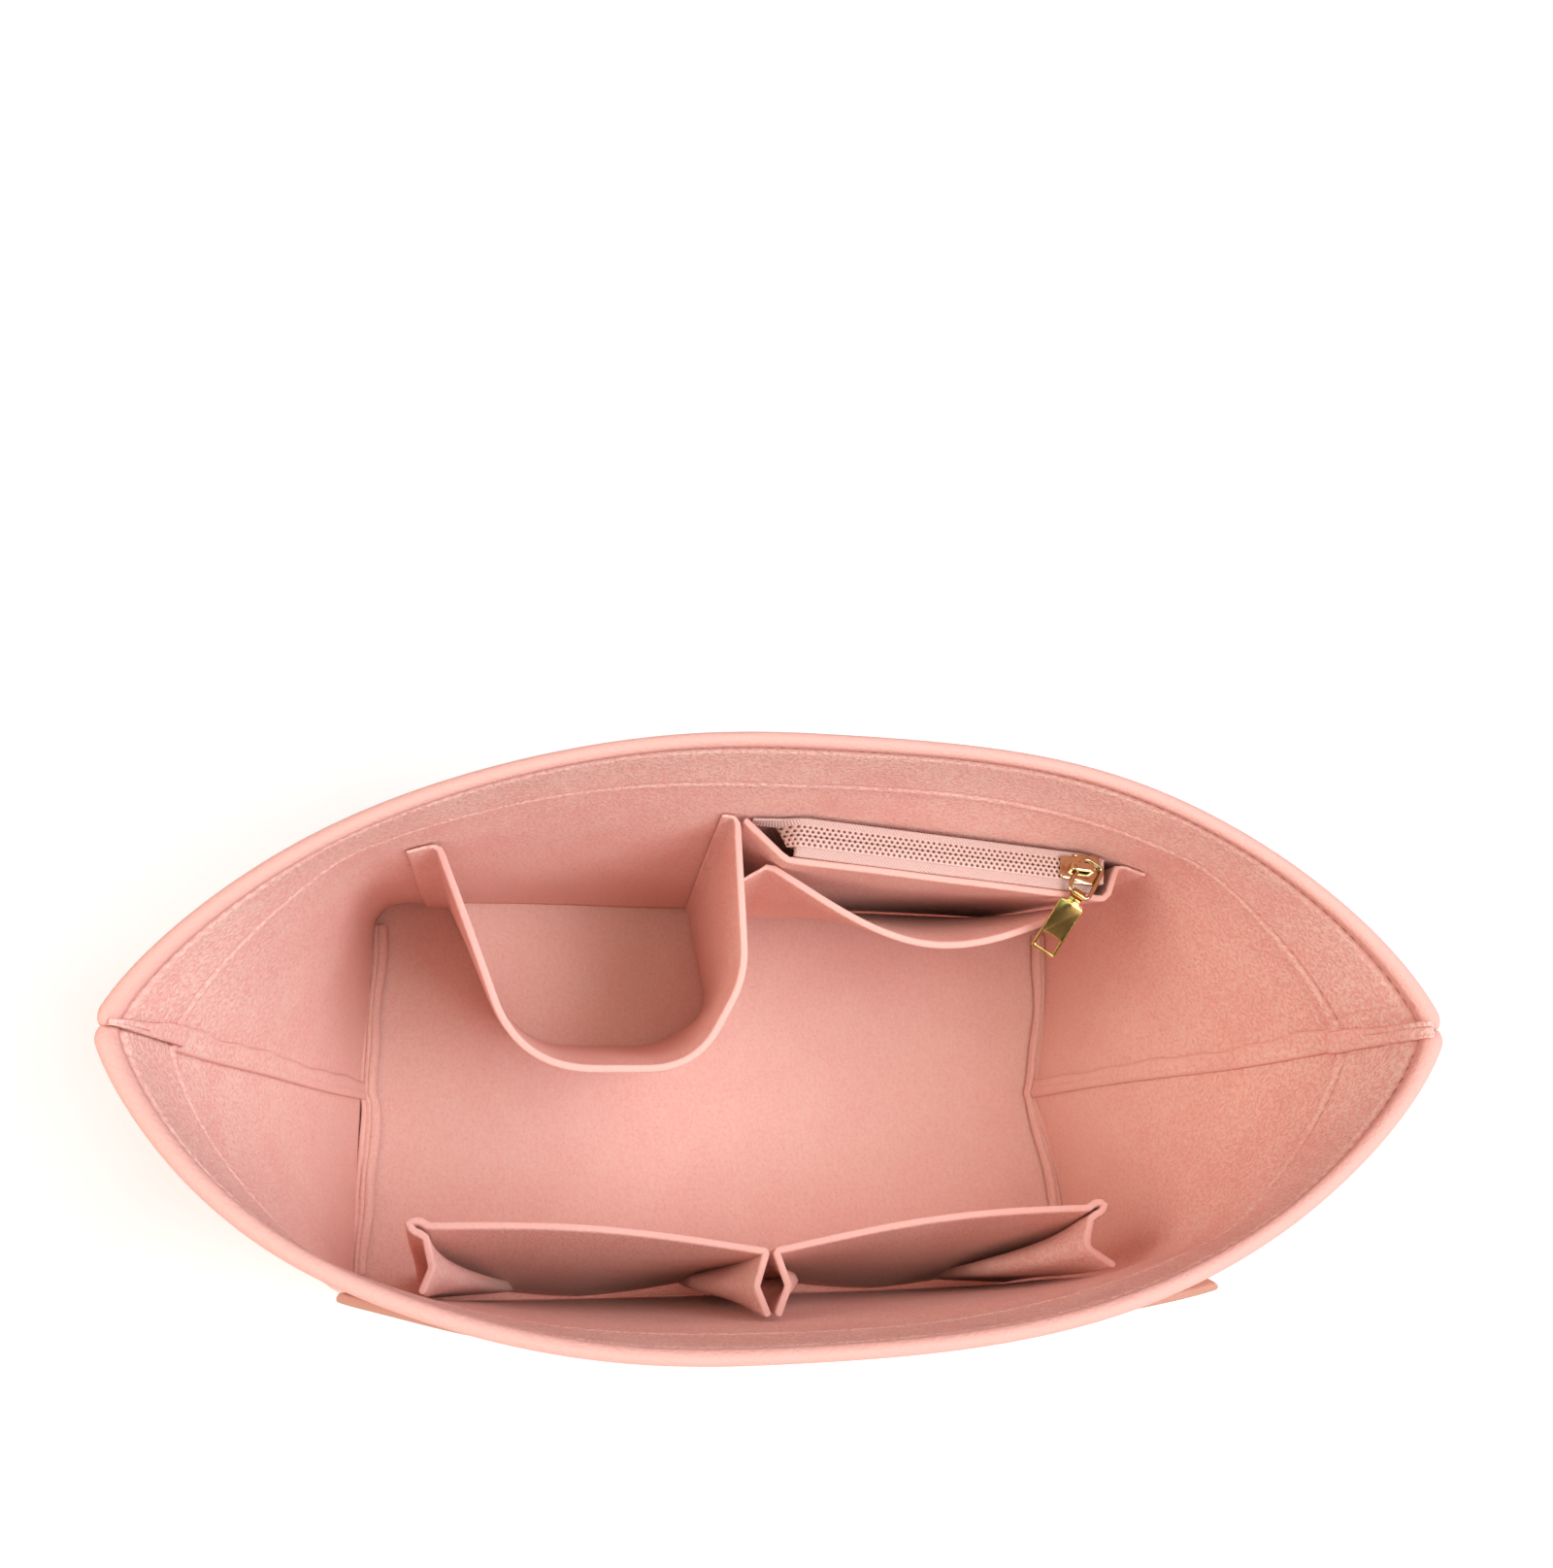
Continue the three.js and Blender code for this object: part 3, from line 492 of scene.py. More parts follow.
def tube(points, radius, sides, closed=False):
    """Points and faces of a round bar along a line; the radius may change along it."""
    points = np.asarray(points, float)
    n = len(points)
    if closed:
        way = np.roll(points, -1, axis=0) - np.roll(points, 1, axis=0)
    else:
        way = np.gradient(points, axis=0)
    way = unit(way)
    side = np.zeros_like(points)
    start = np.array((0.0, 0.0, 1.0)) if abs(way[0][2]) < 0.9 else np.array((1.0, 0.0, 0.0))
    side[0] = unit(start - way[0] * (start @ way[0]))
    for i in range(1, n):
        side[i] = unit(side[i - 1] - way[i] * (side[i - 1] @ way[i]))
    other = np.cross(way, side)
    turn = np.linspace(0, 2 * math.pi, sides, endpoint=False)
    radius = np.broadcast_to(np.asarray(radius, float), (n,))[:, None, None]
    ring = np.cos(turn)[None, :, None] * side[:, None] + np.sin(turn)[None, :, None] * other[:, None]
    return (points[:, None] + ring * radius).reshape(-1, 3), ring_faces(n, sides, closed)


def gather(parts):
    """Several (points, faces) as one."""
    points, faces, count = [], [], 0
    for p, f in parts:
        points.append(p)
        faces += [tuple(i + count for i in face) for face in f]
        count += len(p)
    return np.concatenate(points), faces


def fill(tree, made, inputs):
    """Node with its inputs given values, or links from sockets."""
    for key, value in inputs.items():
        if isinstance(value, bpy.types.NodeSocket):
            tree.links.new(value, made.inputs[key])
        else:
            made.inputs[key].default_value = value
    return made


def node(tree, kind, inputs=None, **traits):
    """Shader node with its traits and inputs."""
    made = tree.nodes.new(kind)
    for key, value in traits.items():
        setattr(made, key, value)
    return fill(tree, made, inputs or {})


def calc(tree, operation, a, b=0.0, c=0.0):
    """Result of a math node."""
    return node(tree, "ShaderNodeMath", {0: a, 1: b, 2: c}, operation=operation).outputs[0]


def remap(tree, value, low, high, to_low=0.0, to_high=1.0):
    """Value taken from one range to another, and held inside it."""
    inputs = {"Value": value, "From Min": low, "From Max": high, "To Min": to_low, "To Max": to_high}
    return node(tree, "ShaderNodeMapRange", inputs).outputs[0]


def blend_colour(tree, fac, a, b):
    """Mix of two colours."""
    return node(tree, "ShaderNodeMix", {0: fac, 6: a, 7: b}, data_type="RGBA").outputs[2]


def noise(tree, vector, scale, detail=2.0, rough=0.5, twist=0.0):
    """Value of a noise texture."""
    inputs = {"Vector": vector, "Scale": scale, "Detail": detail, "Roughness": rough, "Distortion": twist}
    return node(tree, "ShaderNodeTexNoise", inputs).outputs[0]


def rgba(colour, kept=1.0):
    """Colour with its alpha, dimmed to the share that is kept."""
    return (*(kept * c for c in colour), 1.0)


def fibre_group():
    """Matted fibres: a tone and a height from curled grain, long hairs and slow clouds."""
    if "Matted fibres" in bpy.data.node_groups:
        return bpy.data.node_groups["Matted fibres"]
    tree = bpy.data.node_groups.new("Matted fibres", "ShaderNodeTree")
    start, end = tree.nodes.new("NodeGroupInput"), tree.nodes.new("NodeGroupOutput")
    for name, kind, way in (
        ("Vector", "NodeSocketVector", "INPUT"),
        ("Size", "NodeSocketFloat", "INPUT"),
        ("Tone", "NodeSocketFloat", "OUTPUT"),
        ("Height", "NodeSocketFloat", "OUTPUT"),
    ):
        tree.interface.new_socket(name, in_out=way, socket_type=kind)
    place = start.outputs["Vector"]
    fine = calc(tree, "DIVIDE", 1.0, start.outputs["Size"])
    grain = noise(tree, place, fine, 3.0, 0.62, 0.2)
    coarse = noise(tree, place, calc(tree, "MULTIPLY", fine, 0.4), 2.0, 0.5, 0.3)
    clouds = noise(tree, place, calc(tree, "MULTIPLY", fine, 0.045), 3.0, 0.55)
    hairs = None
    for turn in ((0.3, 0.2, 0.5), (1.2, 0.9, 2.1), (2.3, 1.7, 0.9)):
        laid = node(tree, "ShaderNodeMapping", {"Vector": place, "Rotation": turn, "Scale": (1.0, 0.13, 1.0)})
        line = noise(tree, laid.outputs[0], calc(tree, "MULTIPLY", fine, 1.7), 1.0, 0.4, 0.25)
        line = remap(tree, line, 0.52, 0.78)
        hairs = line if hairs is None else calc(tree, "MAXIMUM", hairs, line)
    specks = noise(tree, place, calc(tree, "MULTIPLY", fine, 0.85), 2.0, 0.6, 0.2)
    specks = remap(tree, specks, 0.32, 0.56)
    tone = calc(tree, "MULTIPLY", specks, 0.34)
    tone = calc(tree, "MULTIPLY_ADD", remap(tree, grain, 0.34, 0.66), 0.3, tone)
    tone = calc(tree, "MULTIPLY_ADD", remap(tree, clouds, 0.3, 0.7), 0.2, tone)
    tone = calc(tree, "MULTIPLY_ADD", hairs, 0.16, tone)
    height = calc(tree, "MULTIPLY_ADD", coarse, 0.3, calc(tree, "MULTIPLY", grain, 0.5))
    height = calc(tree, "MULTIPLY_ADD", specks, 0.4, calc(tree, "MULTIPLY_ADD", hairs, 0.06, height))
    fill(tree, end, {"Tone": tone, "Height": height})
    return tree


def fibres_at(tree, place, grain):
    """Outputs of the matted fibres at a grain size."""
    return node(tree, "ShaderNodeGroup", {"Vector": place, "Size": grain}, node_tree=fibre_group()).outputs


def mask_of(tree):
    """Mask kept on each point: cut edges above nought, rubbed or shaded felt below it."""
    return node(tree, "ShaderNodeAttribute", None, attribute_name="pale").outputs["Fac"]


def bump(tree, height, strength, distance):
    """Normal of a bump."""
    inputs = {"Height": height, "Strength": strength, "Distance": distance}
    return node(tree, "ShaderNodeBump", inputs).outputs[0]


def material_of(name, build):
    """Material of that name, made once. Its shader's inputs are what build gives for a tree and a place."""
    if name not in bpy.data.materials:
        made = bpy.data.materials.new(name)
        made.use_nodes = True
        tree = made.node_tree
        place = node(tree, "ShaderNodeTexCoord").outputs["Object"]
        fill(tree, tree.nodes["Principled BSDF"], build(tree, place))
    return bpy.data.materials[name]


def felt_material():
    """Needle felt: mottled fibres, rougher towards the rim, with paler cut edges and darker rubbed ones."""
    f = settings()[3]

    def build(tree, place):
        fibres, pale = fibres_at(tree, place, grain=0.0011), mask_of(tree)
        high = node(tree, "ShaderNodeSeparateXYZ", {0: place}).outputs[2]
        smooth = remap(tree, calc(tree, "ABSOLUTE", pale), 0.05, 0.45, 1.0, 0.35)
        nap = calc(tree, "MULTIPLY", remap(tree, high, 0.03, 0.19, 0.45, 1.7), smooth)
        even_tone = calc(tree, "SUBTRACT", fibres["Tone"], 0.62)
        tone = calc(tree, "MULTIPLY_ADD", even_tone, calc(tree, "MULTIPLY", nap, 2.2), 0.7)
        colour = blend_colour(tree, tone, rgba(f.felt_deep), rgba(f.felt_pink))
        worn = remap(tree, fibres["Tone"], 0.1, 0.6, 0.6, 0.95)
        frayed = calc(tree, "MULTIPLY", remap(tree, pale, 0, 1), worn)
        colour = blend_colour(tree, frayed, colour, rgba(f.felt_pale))
        # Below nought the mask paints shade, first towards the deep colour, then towards the shade colour.
        colour = blend_colour(tree, remap(tree, pale, 0, -0.5), colour, rgba(f.felt_deep))
        colour = blend_colour(tree, remap(tree, pale, -0.5, -1), colour, rgba(f.felt_raw))
        return {
            "Base Color": colour,
            "Roughness": 0.95,
            "Specular IOR Level": 0.15,
            "Sheen Weight": 0.12,
            "Sheen Roughness": 0.5,
            "Sheen Tint": (1.0, 0.82, 0.77, 1.0),
            "Normal": bump(tree, calc(tree, "MULTIPLY", fibres["Height"], nap), 0.5, 0.001),
        }

    return material_of("needle_felt", build)


def thread_material():
    """Twisted sewing thread."""
    thread = settings()[3].thread_pink

    def build(tree, place):
        fibres = fibres_at(tree, place, grain=0.0004)
        tone = remap(tree, fibres["Tone"], 0.2, 0.8)
        return {
            "Base Color": blend_colour(tree, tone, rgba(thread, 0.78), rgba(thread)),
            "Roughness": 0.75,
            "Sheen Weight": 0.15,
            "Normal": bump(tree, fibres["Height"], 0.3, 0.0002),
        }

    return material_of("sewing_thread", build)


def tape_material(turn):
    """Woven tape with a herringbone along the zip."""
    tape = settings()[3].tape_pink

    def build(tree, place):
        laid = node(tree, "ShaderNodeMapping", {"Vector": place, "Rotation": (0, 0, -turn)}).outputs[0]
        apart = node(tree, "ShaderNodeSeparateXYZ", {0: laid}).outputs
        across = calc(tree, "PINGPONG", calc(tree, "DIVIDE", apart[1], 0.004), 1.0)
        along = calc(tree, "DIVIDE", apart[0], 0.0011)
        weave = calc(tree, "PINGPONG", calc(tree, "MULTIPLY_ADD", across, 3.2, along), 0.5)
        rib = remap(tree, weave, 0.08, 0.42)
        fuzz = calc(tree, "MULTIPLY", fibres_at(tree, place, grain=0.0005)["Tone"], 0.3)
        tone = calc(tree, "MULTIPLY_ADD", rib, 0.7, fuzz)
        return {
            "Base Color": blend_colour(tree, tone, rgba(tape, 0.66), rgba(tape)),
            "Roughness": 0.8,
            "Sheen Weight": 0.1,
            "Normal": bump(tree, rib, 0.7, 0.0003),
        }

    return material_of("herringbone_tape", build)


def coil_material():
    """Dyed nylon of the chain, dark in the holes of its knit."""
    f = settings()[3]

    def build(tree, place):
        tone = fibres_at(tree, place, grain=0.0007)["Tone"]
        colour = blend_colour(tree, tone, rgba(f.coil_pink, 0.86), rgba(f.coil_pink))
        # Painted shade where the mask is below nought: the knit's holes and the bottom stop.
        hole = remap(tree, mask_of(tree), -0.25, -0.8)
        return {
            "Base Color": blend_colour(tree, hole, colour, rgba(f.felt_raw, 0.3)),
            "Roughness": remap(tree, tone, 0, 1, 0.44, 0.6),
        }

    return material_of("nylon_coil", build)


def gilt_material(name, colour):
    """Polished gilt plating with fine rub marks."""

    def build(tree, place):
        inputs = {"Vector": place, "Rotation": (0, 0, 0.55), "Scale": (1, 0.06, 1)}
        rub = noise(tree, node(tree, "ShaderNodeMapping", inputs).outputs[0], 5200, 2.0, 0.6)
        cloud = noise(tree, place, 420, 3.0, 0.6)
        return {
            "Base Color": blend_colour(tree, remap(tree, cloud, 0.35, 0.7), rgba(colour), rgba(colour, 0.8)),
            "Roughness": calc(tree, "MULTIPLY_ADD", rub, 0.08, calc(tree, "MULTIPLY_ADD", cloud, 0.08, 0.05)),
            "Metallic": 1.0,
            "Normal": bump(tree, rub, 0.08, 0.00005),
        }

    return material_of(name, build)


def floor_material():
    """Pale matt floor."""
    pale = settings()[3].floor

    def build(tree, place):
        return {
            "Base Color": blend_colour(tree, noise(tree, place, 3.0), rgba(pale, 0.985), rgba(pale)),
            "Roughness": 0.9,
            "Specular IOR Level": 0.1,
        }

    return material_of("pale_floor", build)


def wall_section(b):
    """Section of a wall as insets and heights: up outside, over the rolled rim, down the hem, down inside."""
    top, hem, floor = b.height, b.height - b.hem_depth, b.felt + b.gap
    upper, lower = top - b.upper_stitch, hem + b.lower_stitch
    roll, face, cut = ROLL * b.pressed, 2 * b.pressed, 0.0009
    upper_width, lower_width = 0.0011, 0.0009
    rolled = top - 1.2 * roll

    def dip(z):
        return b.groove * (hump(z - upper, upper_width) + hump(z - lower, lower_width))

    outside = np.concatenate([np.linspace(floor, hem - 0.004, 34), np.linspace(hem - 0.003, rolled, 40)])
    section = [(OUTER_GROOVE * dip(z), z) for z in outside]
    for turn in np.linspace(0, math.pi, 17):
        section.append((b.pressed - roll * math.cos(turn), top - roll + roll * math.sin(turn)))
    section += [(face - dip(z), z) for z in np.linspace(rolled, hem + cut, 46)]
    for turn in np.linspace(0, math.pi / 2, 5)[1:]:
        section.append((face - cut * (1 - math.cos(turn)), hem + cut - cut * math.sin(turn)))
    section.append((b.felt + 0.0002, hem))
    section += [(b.felt, z) for z in np.linspace(hem - 0.0006, floor, 44)]
    return np.array(section)


def wall_piece(name, plan, turned, material):
    """One felt wall from seam to seam, with its rolled rim and its hem, and its flat size."""
    b = plan.b
    section = wall_section(b)
    run, hem_face = 2 * plan.half_run, 1.5 * b.pressed
    fine, lip_depth, lip_reach, pucker = 0.033, 0.0022, 0.0055, 0.0007
    ends = np.concatenate([np.arange(0, 0.02, 0.0008), np.arange(0.02, 0.032, 0.0014)])
    places = np.concatenate([ends, np.linspace(fine, run - fine, 380), run - ends[::-1]])
    index = places / run * PLAN_POINTS
    lip = lip_depth * np.clip(1 - np.minimum(places, run - places) / lip_reach, 0, 1) ** 2
    beat = np.cos(math.pi * places / STITCH_PITCH + 0.6 * np.sin(places * 210)) ** 2
    crease = 0.001 * hump(run - places - 0.0085, 0.0006) * (not turned)
    # The rim's top gets painted shade: a mask below nought.
    darkened = np.clip((section[:, 1] - b.height + 3 * b.pressed) / b.pressed, 0, 1)
    pale = np.tile(-0.62 * darkened, (len(places), 1))
    points = np.zeros((len(places), len(section), 3))
    for k, (inset, z) in enumerate(section):
        line = plan.line(z, inset)
        inward = found(index, PLAN_INDEX, right_of(ways(line)))
        push = lip * np.clip(1 - inset / hem_face, 0, 1)
        if inset > hem_face and z < b.height - b.pressed:
            near_row = hump(z - b.height + b.upper_stitch, 0.0014)
            near_row += 0.4 * hump(z - b.height + b.hem_depth - b.lower_stitch, 0.001)
            push = push - pucker * near_row * beat - crease
            # Painted shade along the stitch rows, strongest at each stitch.
            pale[:, k] -= 0.6 * near_row * (0.35 + 0.65 * beat)
        points[:, k, :2] = found(index, PLAN_INDEX, line) + inward * push[:, None]
        points[:, k, 2] = z - 0.6 * lip * np.clip((z - b.height + 0.01) / 0.01, 0, 1)
    points[..., 1] = np.maximum(points[..., 1], 0) + b.gap / 2
    if turned:
        points[..., :2] *= -1
    else:
        points = ZipPlan(plan, *settings()[1:3]).pulled(points)
    faces = ring_faces(*points.shape[:2])
    piece = add_piece(name, soften(points).reshape(-1, 3), faces, material, pale.reshape(-1))
    up = b.height - b.felt + b.hem_depth + 0.5 * math.pi * b.felt
    longs = [float(lengths(plan.line(z, 0))[-1]) for z in (0, b.height)]
    return piece, (max(longs), up, sum(longs) / 2 * up)


def base_grid(b):
    """Grid down the middle of the felt bottom: a rounded rectangle, a little rippled away from its edge."""
    corner, edge, step = b.base_corner, b.felt * EDGE_ROUND, 0.0035
    long, wide = b.base_length / 2, b.base_width / 2
    y = -wide + close_set(2 * wide, step, edge)
    past = np.clip(np.abs(y) - (wide - corner), 0, corner)
    reach = long - corner + np.sqrt(np.maximum(corner**2 - past**2, 0))
    across = -1 + close_set(2 * long, step, edge) / long
    x = across[:, None] * reach
    inward = np.minimum(long - np.abs(x), wide - np.abs(y))
    ripple = 0.00012 * (np.sin(x * 74 + 2 * np.sin(y * 41)) + np.sin(y * 93 + 1.2))
    z = b.felt / 2 + ripple * np.clip((inward - 0.012) / 0.02, 0, 1)
    return soften(joined(x, y, z))


def body():
    """Sew the two walls and the base"""
    b = settings()[0]
    plan, felt = WallPlan(b), felt_material()
    piece, flat = felt_sheet("base_felt", base_grid(b), b.felt, felt)
    declare(piece, "base_panel")
    for word in ("rear", "front"):
        piece, flat = wall_piece(f"{word}_wall_felt", plan, word == "front", felt)
        declare(piece, f"{word}_wall")


def seam_grid(plan, path, front, rears, thick, side):
    """Grid of a strip folded into a side seam along a path of insets and heights, wider on the rear wall."""
    b = plan.b
    path = np.array(path)
    long = lengths(path)[-1]
    rises = close_set(long, 0.0016, thick * EDGE_ROUND) / long
    path = even(path, rises)
    out, root = b.gap + thick / 2, 0.0012
    rows = []
    for rise, (inset, z) in zip(rises, path):
        line = plan.line(min(z, b.height), inset)[::-side]
        away = lengths(line)
        wide = between(*rears, rise)
        wide *= 1 + 0.08 * math.sin(z * 90 + side) + 0.06 * math.sin(z * 260 + 1)
        near = found(np.append(wide * np.array((1, 0.8, 0.55, 0.3)), root), away, line)
        far = found(front * np.array((0.5, 1)), away, line)
        normal = facing(right_of(unit(line[6] - line[0])), (0, -1))
        crest = line[0] - np.array((side, 0)) * (out * 1.55)
        rows.append(np.concatenate([near + normal * out, [crest], (far + normal * out) * (1, -1)]))
    rows = np.array(rows)
    width = lengths(rows, 1)[:, -1].mean()
    places = close_set(width, 0.0006, thick * EDGE_ROUND) / width
    grid = np.zeros((len(places), len(rows), 3))
    grid[..., :2] = np.stack([even(row, places) for row in rows], axis=1)
    grid[..., 2] = path[:, 1]
    return soften(grid)


def welt(b, side, word):
    """Seam between the base and an end: two edges of felt side by side."""
    thick, wide, bent, tall = 0.0014, 0.0065, 0.0072, 0.0022
    half = b.base_width / 2 - 0.9 * b.base_corner
    edge = b.base_length / 2 - b.felt + 0.0021
    y = -half + close_set(2 * half, 0.0016, thick * EDGE_ROUND)
    across = close_set(bent, 0.0004, thick * EDGE_ROUND)[:, None] / bent
    wander = 0.0006 * np.sin(y * 70) + 0.0004 * np.sin(y * 190 + 1)
    step = np.minimum(0.0016 * np.tanh(y / 0.004) * np.exp(-np.abs(y) / 0.05), 0) * (side < 0)
    first = 0.55 + 0.25 * np.cos(4 * math.pi * across)
    second = np.abs(np.sin(2 * math.pi * across)) ** 0.6
    second = np.where(across < 0.75, np.maximum(second, 0.3), second)
    high = tall * (1 + 0.25 * np.sin(y * 130) + 0.15 * np.sin(y * 310))
    x = side * (edge - wide * across + (wander * across + step))
    z = b.felt + b.gap + thick / 2 + np.where(across < 0.5, first, second) * high
    grid = soften(joined(x, y, z))
    sew(f"{word}_base_seam_felt", f"{word}_base_strip", grid, thick, "folded", ["base_felt"])


def seams():
    """Sew the strips over the side seams and the base's ends"""
    b = settings()[0]
    plan, strip = WallPlan(b), 0.0017
    hem, roll, face = b.height - b.hem_depth, ROLL * b.pressed, 2 * b.pressed
    walls = ["rear_wall_felt", "front_wall_felt"]
    for side, word, thick, front, rears in (
        (1, "right", 0.0021, 0.00336, (0.0052, 0.00286)),
        (-1, "left", 0.0015, 0.00056, (0.0056, 0.00224)),
    ):
        path = [(b.felt, b.felt + b.gap + 0.0023), (b.felt, hem + 0.002)]
        grid = seam_grid(plan, path, 0.0022, (0.0048, 0.0064), strip, side)
        sew(f"{word}_seam_felt", f"{word}_seam_strip", grid, strip, "folded", walls)
        path = [(face, hem - 0.0008), (face, b.height - roll)]
        for turn in np.linspace(0, 0.4 * math.pi, 7)[1:]:
            rise = (roll + 0.5 * thick) * math.sin(turn)
            path.append((b.pressed + roll * math.cos(turn), b.height - roll + rise))
        grid = seam_grid(plan, path, front, rears, thick, side)
        taper = np.clip((b.height + 0.001 - grid[..., 2]) / 0.006, 0.35, 1)
        # Painted shade on the strip's end where it turns over the rim.
        sew(f"{word}_seam_end_felt", None, grid, thick, "folded", walls[:1], thin=taper, raw=0.16)
        welt(b, side, word)


def bottle_line(plan, p, z, rise):
    """Plan line of the bottle pocket at a height: flange, left leg, rounded front, right leg, flange."""
    b = plan.b
    sewn, flat, wall = b.gap + b.felt / 2, b.gap + 0.25 * b.felt, b.base_width / 2 - b.felt
    front = wall - between(p.bottle_foot_depth, p.bottle_depth, rise)
    side = wall - between(p.bottle_side_foot, p.bottle_side_depth, rise)
    right = between(p.bottle_foot_right, p.bottle_top_right, rise)
    flange = p.bottle_right_flange * (0.45 + 0.55 * rise)
    return rounded([
        (plan.at(p.bottle_left - p.bottle_left_flange, z, flat), 0),
        (plan.at(p.bottle_left - 0.004, z, flat), 0),
        (plan.at(p.bottle_left, z, sewn), p.fold),
        ((p.bottle_front_left, front), p.bottle_bend),
        ((p.bottle_front_right, front), p.bottle_bend),
        ((right, side), p.bottle_bend),
        (plan.at(p.bottle_right, z, sewn), p.fold),
        (plan.at(p.bottle_right - 0.5 * flange, z, flat), 0),
        (plan.at(p.bottle_right - flange, z, flat), 0),
    ])


def flange_thin(grid, left, right):
    """Share of the felt's thickness along a pocket whose ends are pressed flat over these lengths."""
    along = lengths(grid)
    past = np.minimum(along - 0.75 * left, along[-1:] - along - 0.75 * right)
    ease = np.clip(past / 0.004, 0, 1)
    return 0.5 + 0.5 * ease**2 * (3 - 2 * ease)


def bottle_pocket():
    """Sew the bottle pocket to the rear wall"""
    b, p = settings()[:2]
    plan, rises = WallPlan(b), np.linspace(0, 1, 9)
    heights = between(b.felt + b.gap, b.height - b.hem_depth - p.bottle_drop, rises)
    grid = standing_grid([bottle_line(plan, p, z, rise) for z, rise in zip(heights, rises)], heights)
    thin = flange_thin(grid, p.bottle_left_flange, p.bottle_right_flange)
    sew("bottle_pocket_felt", "bottle_pocket", grid, 0.86 * b.felt, "folded", ["rear_wall_felt"], thin=thin)


class ZipPlan:
    """Plan of the zip pocket: the zip's straight run, and the panel in front of it."""

    def __init__(self, plan, p, c):
        self.plan, self.p = plan, p
        b = plan.b
        self.height = b.height - b.hem_depth - p.zip_drop
        start, end = (plan.at(x, self.height, 0) for x in (p.zip_left, p.zip_right))
        self.along = unit(end - start)
        self.front = right_of(self.along)
        self.length = float(np.linalg.norm(end - start))
        self.middle = (start + end) / 2 + self.front * p.zip_reach
        self.tape_edge = b.gap / 2 + c.coil_width + b.gap
        self.reach = self.tape_edge + c.tape_seen + b.gap + b.felt / 2
        self.top = self.height + c.tape / 2
        self.sewn = b.gap + b.felt / 2
        self.first = p.zip_slant / self.length

    def pulled(self, points):
        """Points of the rear wall drawn in to the straight zip that is sewn to it."""
        wall = self.plan.line(self.height, self.plan.b.felt) - self.middle
        wall = wall[np.abs(wall @ self.along) < 0.6 * self.length]
        over = np.maximum(-wall @ self.front - self.tape_edge - 0.0031, 0)
        near = np.interp((points[..., :2] - self.middle) @ self.along, wall @ self.along, over, 0, 0)
        near = near * hump(points[..., 2] - self.height, 0.026)
        moved = points.copy()
        moved[..., :2] += near[..., None] * self.front * (points[..., 1:2] > REAR_FROM)
        return moved

    def face(self, along, z):
        """Middle of the panel's felt at a share of its run and at a height."""
        p = self.p
        top = self.middle + self.along * (along - 0.5) * self.length + self.front * self.reach
        foot = self.plan.at(between(p.zip_left, p.zip_right, along), p.zip_foot, self.sewn)
        return between(foot, top, (z - p.zip_foot) / (self.top - p.zip_foot))

    def panel(self, z):
        """Plan line of the panel at a height: slanted left end, straight face, right end, pressed flange."""
        p, b = self.p, self.plan.b
        flat = b.gap + 0.25 * b.felt
        face = [(self.face(along, z), 0) for along in np.linspace(self.first, 1, 13)]
        return rounded([
            (self.plan.at(p.zip_left - 1.75 * p.fold, z, self.sewn), 0),
            (face[0][0], p.fold),
            *face[1:-1],
            (face[-1][0], p.fold),
            (self.plan.at(p.zip_right + p.fold, z, self.sewn), p.fold),
            (self.plan.at(p.zip_right + 2 * p.fold, z, flat), 0),
            (self.plan.at(p.zip_right + p.fold + p.zip_flange, z, flat), 0),
        ])

    def slip(self, z, open_):
        """Plan line of the slip pocket: a flap turned to the bottle pocket, then a face that bellies out."""
        b, p = self.plan.b, self.p
        places, bend = np.linspace(0, 1, 41), 0.0016
        last = 1 - p.slip_side / self.length
        out = b.felt + b.gap + open_ * p.slip_depth * np.sin(math.pi * places) ** 1.1
        out[0] -= 0.8 * b.felt * open_
        line = [self.face(between(self.first, last, s), z) + self.front * o for s, o in zip(places, out)]
        line[0] = line[0] - self.along * 0.0042 * open_
        flap = 0.0058 * (0.4 + 0.6 * open_)
        end = np.array((p.bottle_top_right + 0.0016 + 0.0012 * (1 - open_), line[0][1] - flap))
        return rounded([(end, 0), (line[0], bend)] + [(q, 0) for q in line[1:]])


def zip_pocket():
    """Sew the zip pocket's panel and the slip pocket on its face"""
    b, p, c, _ = settings()
    layout = ZipPlan(WallPlan(b), p, c)
    heights = np.linspace(p.zip_foot, layout.top, 7)
    grid = standing_grid([layout.panel(z) for z in heights], heights, wavy=0.0003)
    thin = flange_thin(grid, NO_FLANGE, p.zip_flange)
    sew("zip_panel_felt", "zip_pocket_panel", grid, 0.8 * b.felt, "folded", ["rear_wall_felt"], thin=thin)
    heights = np.linspace(p.zip_foot + p.slip_rise, layout.top - p.slip_drop, 12)
    opened = ((heights - heights[0]) / (heights[-1] - heights[0])) ** 1.15
    grid = standing_grid([layout.slip(z, open_) for z, open_ in zip(heights, opened)], heights)
    thin = flange_thin(grid, 0.011, NO_FLANGE)
    sew("slip_pocket_felt", "slip_pocket", grid, 0.85 * b.felt, "hung", ["zip_panel_felt"], thin=thin)


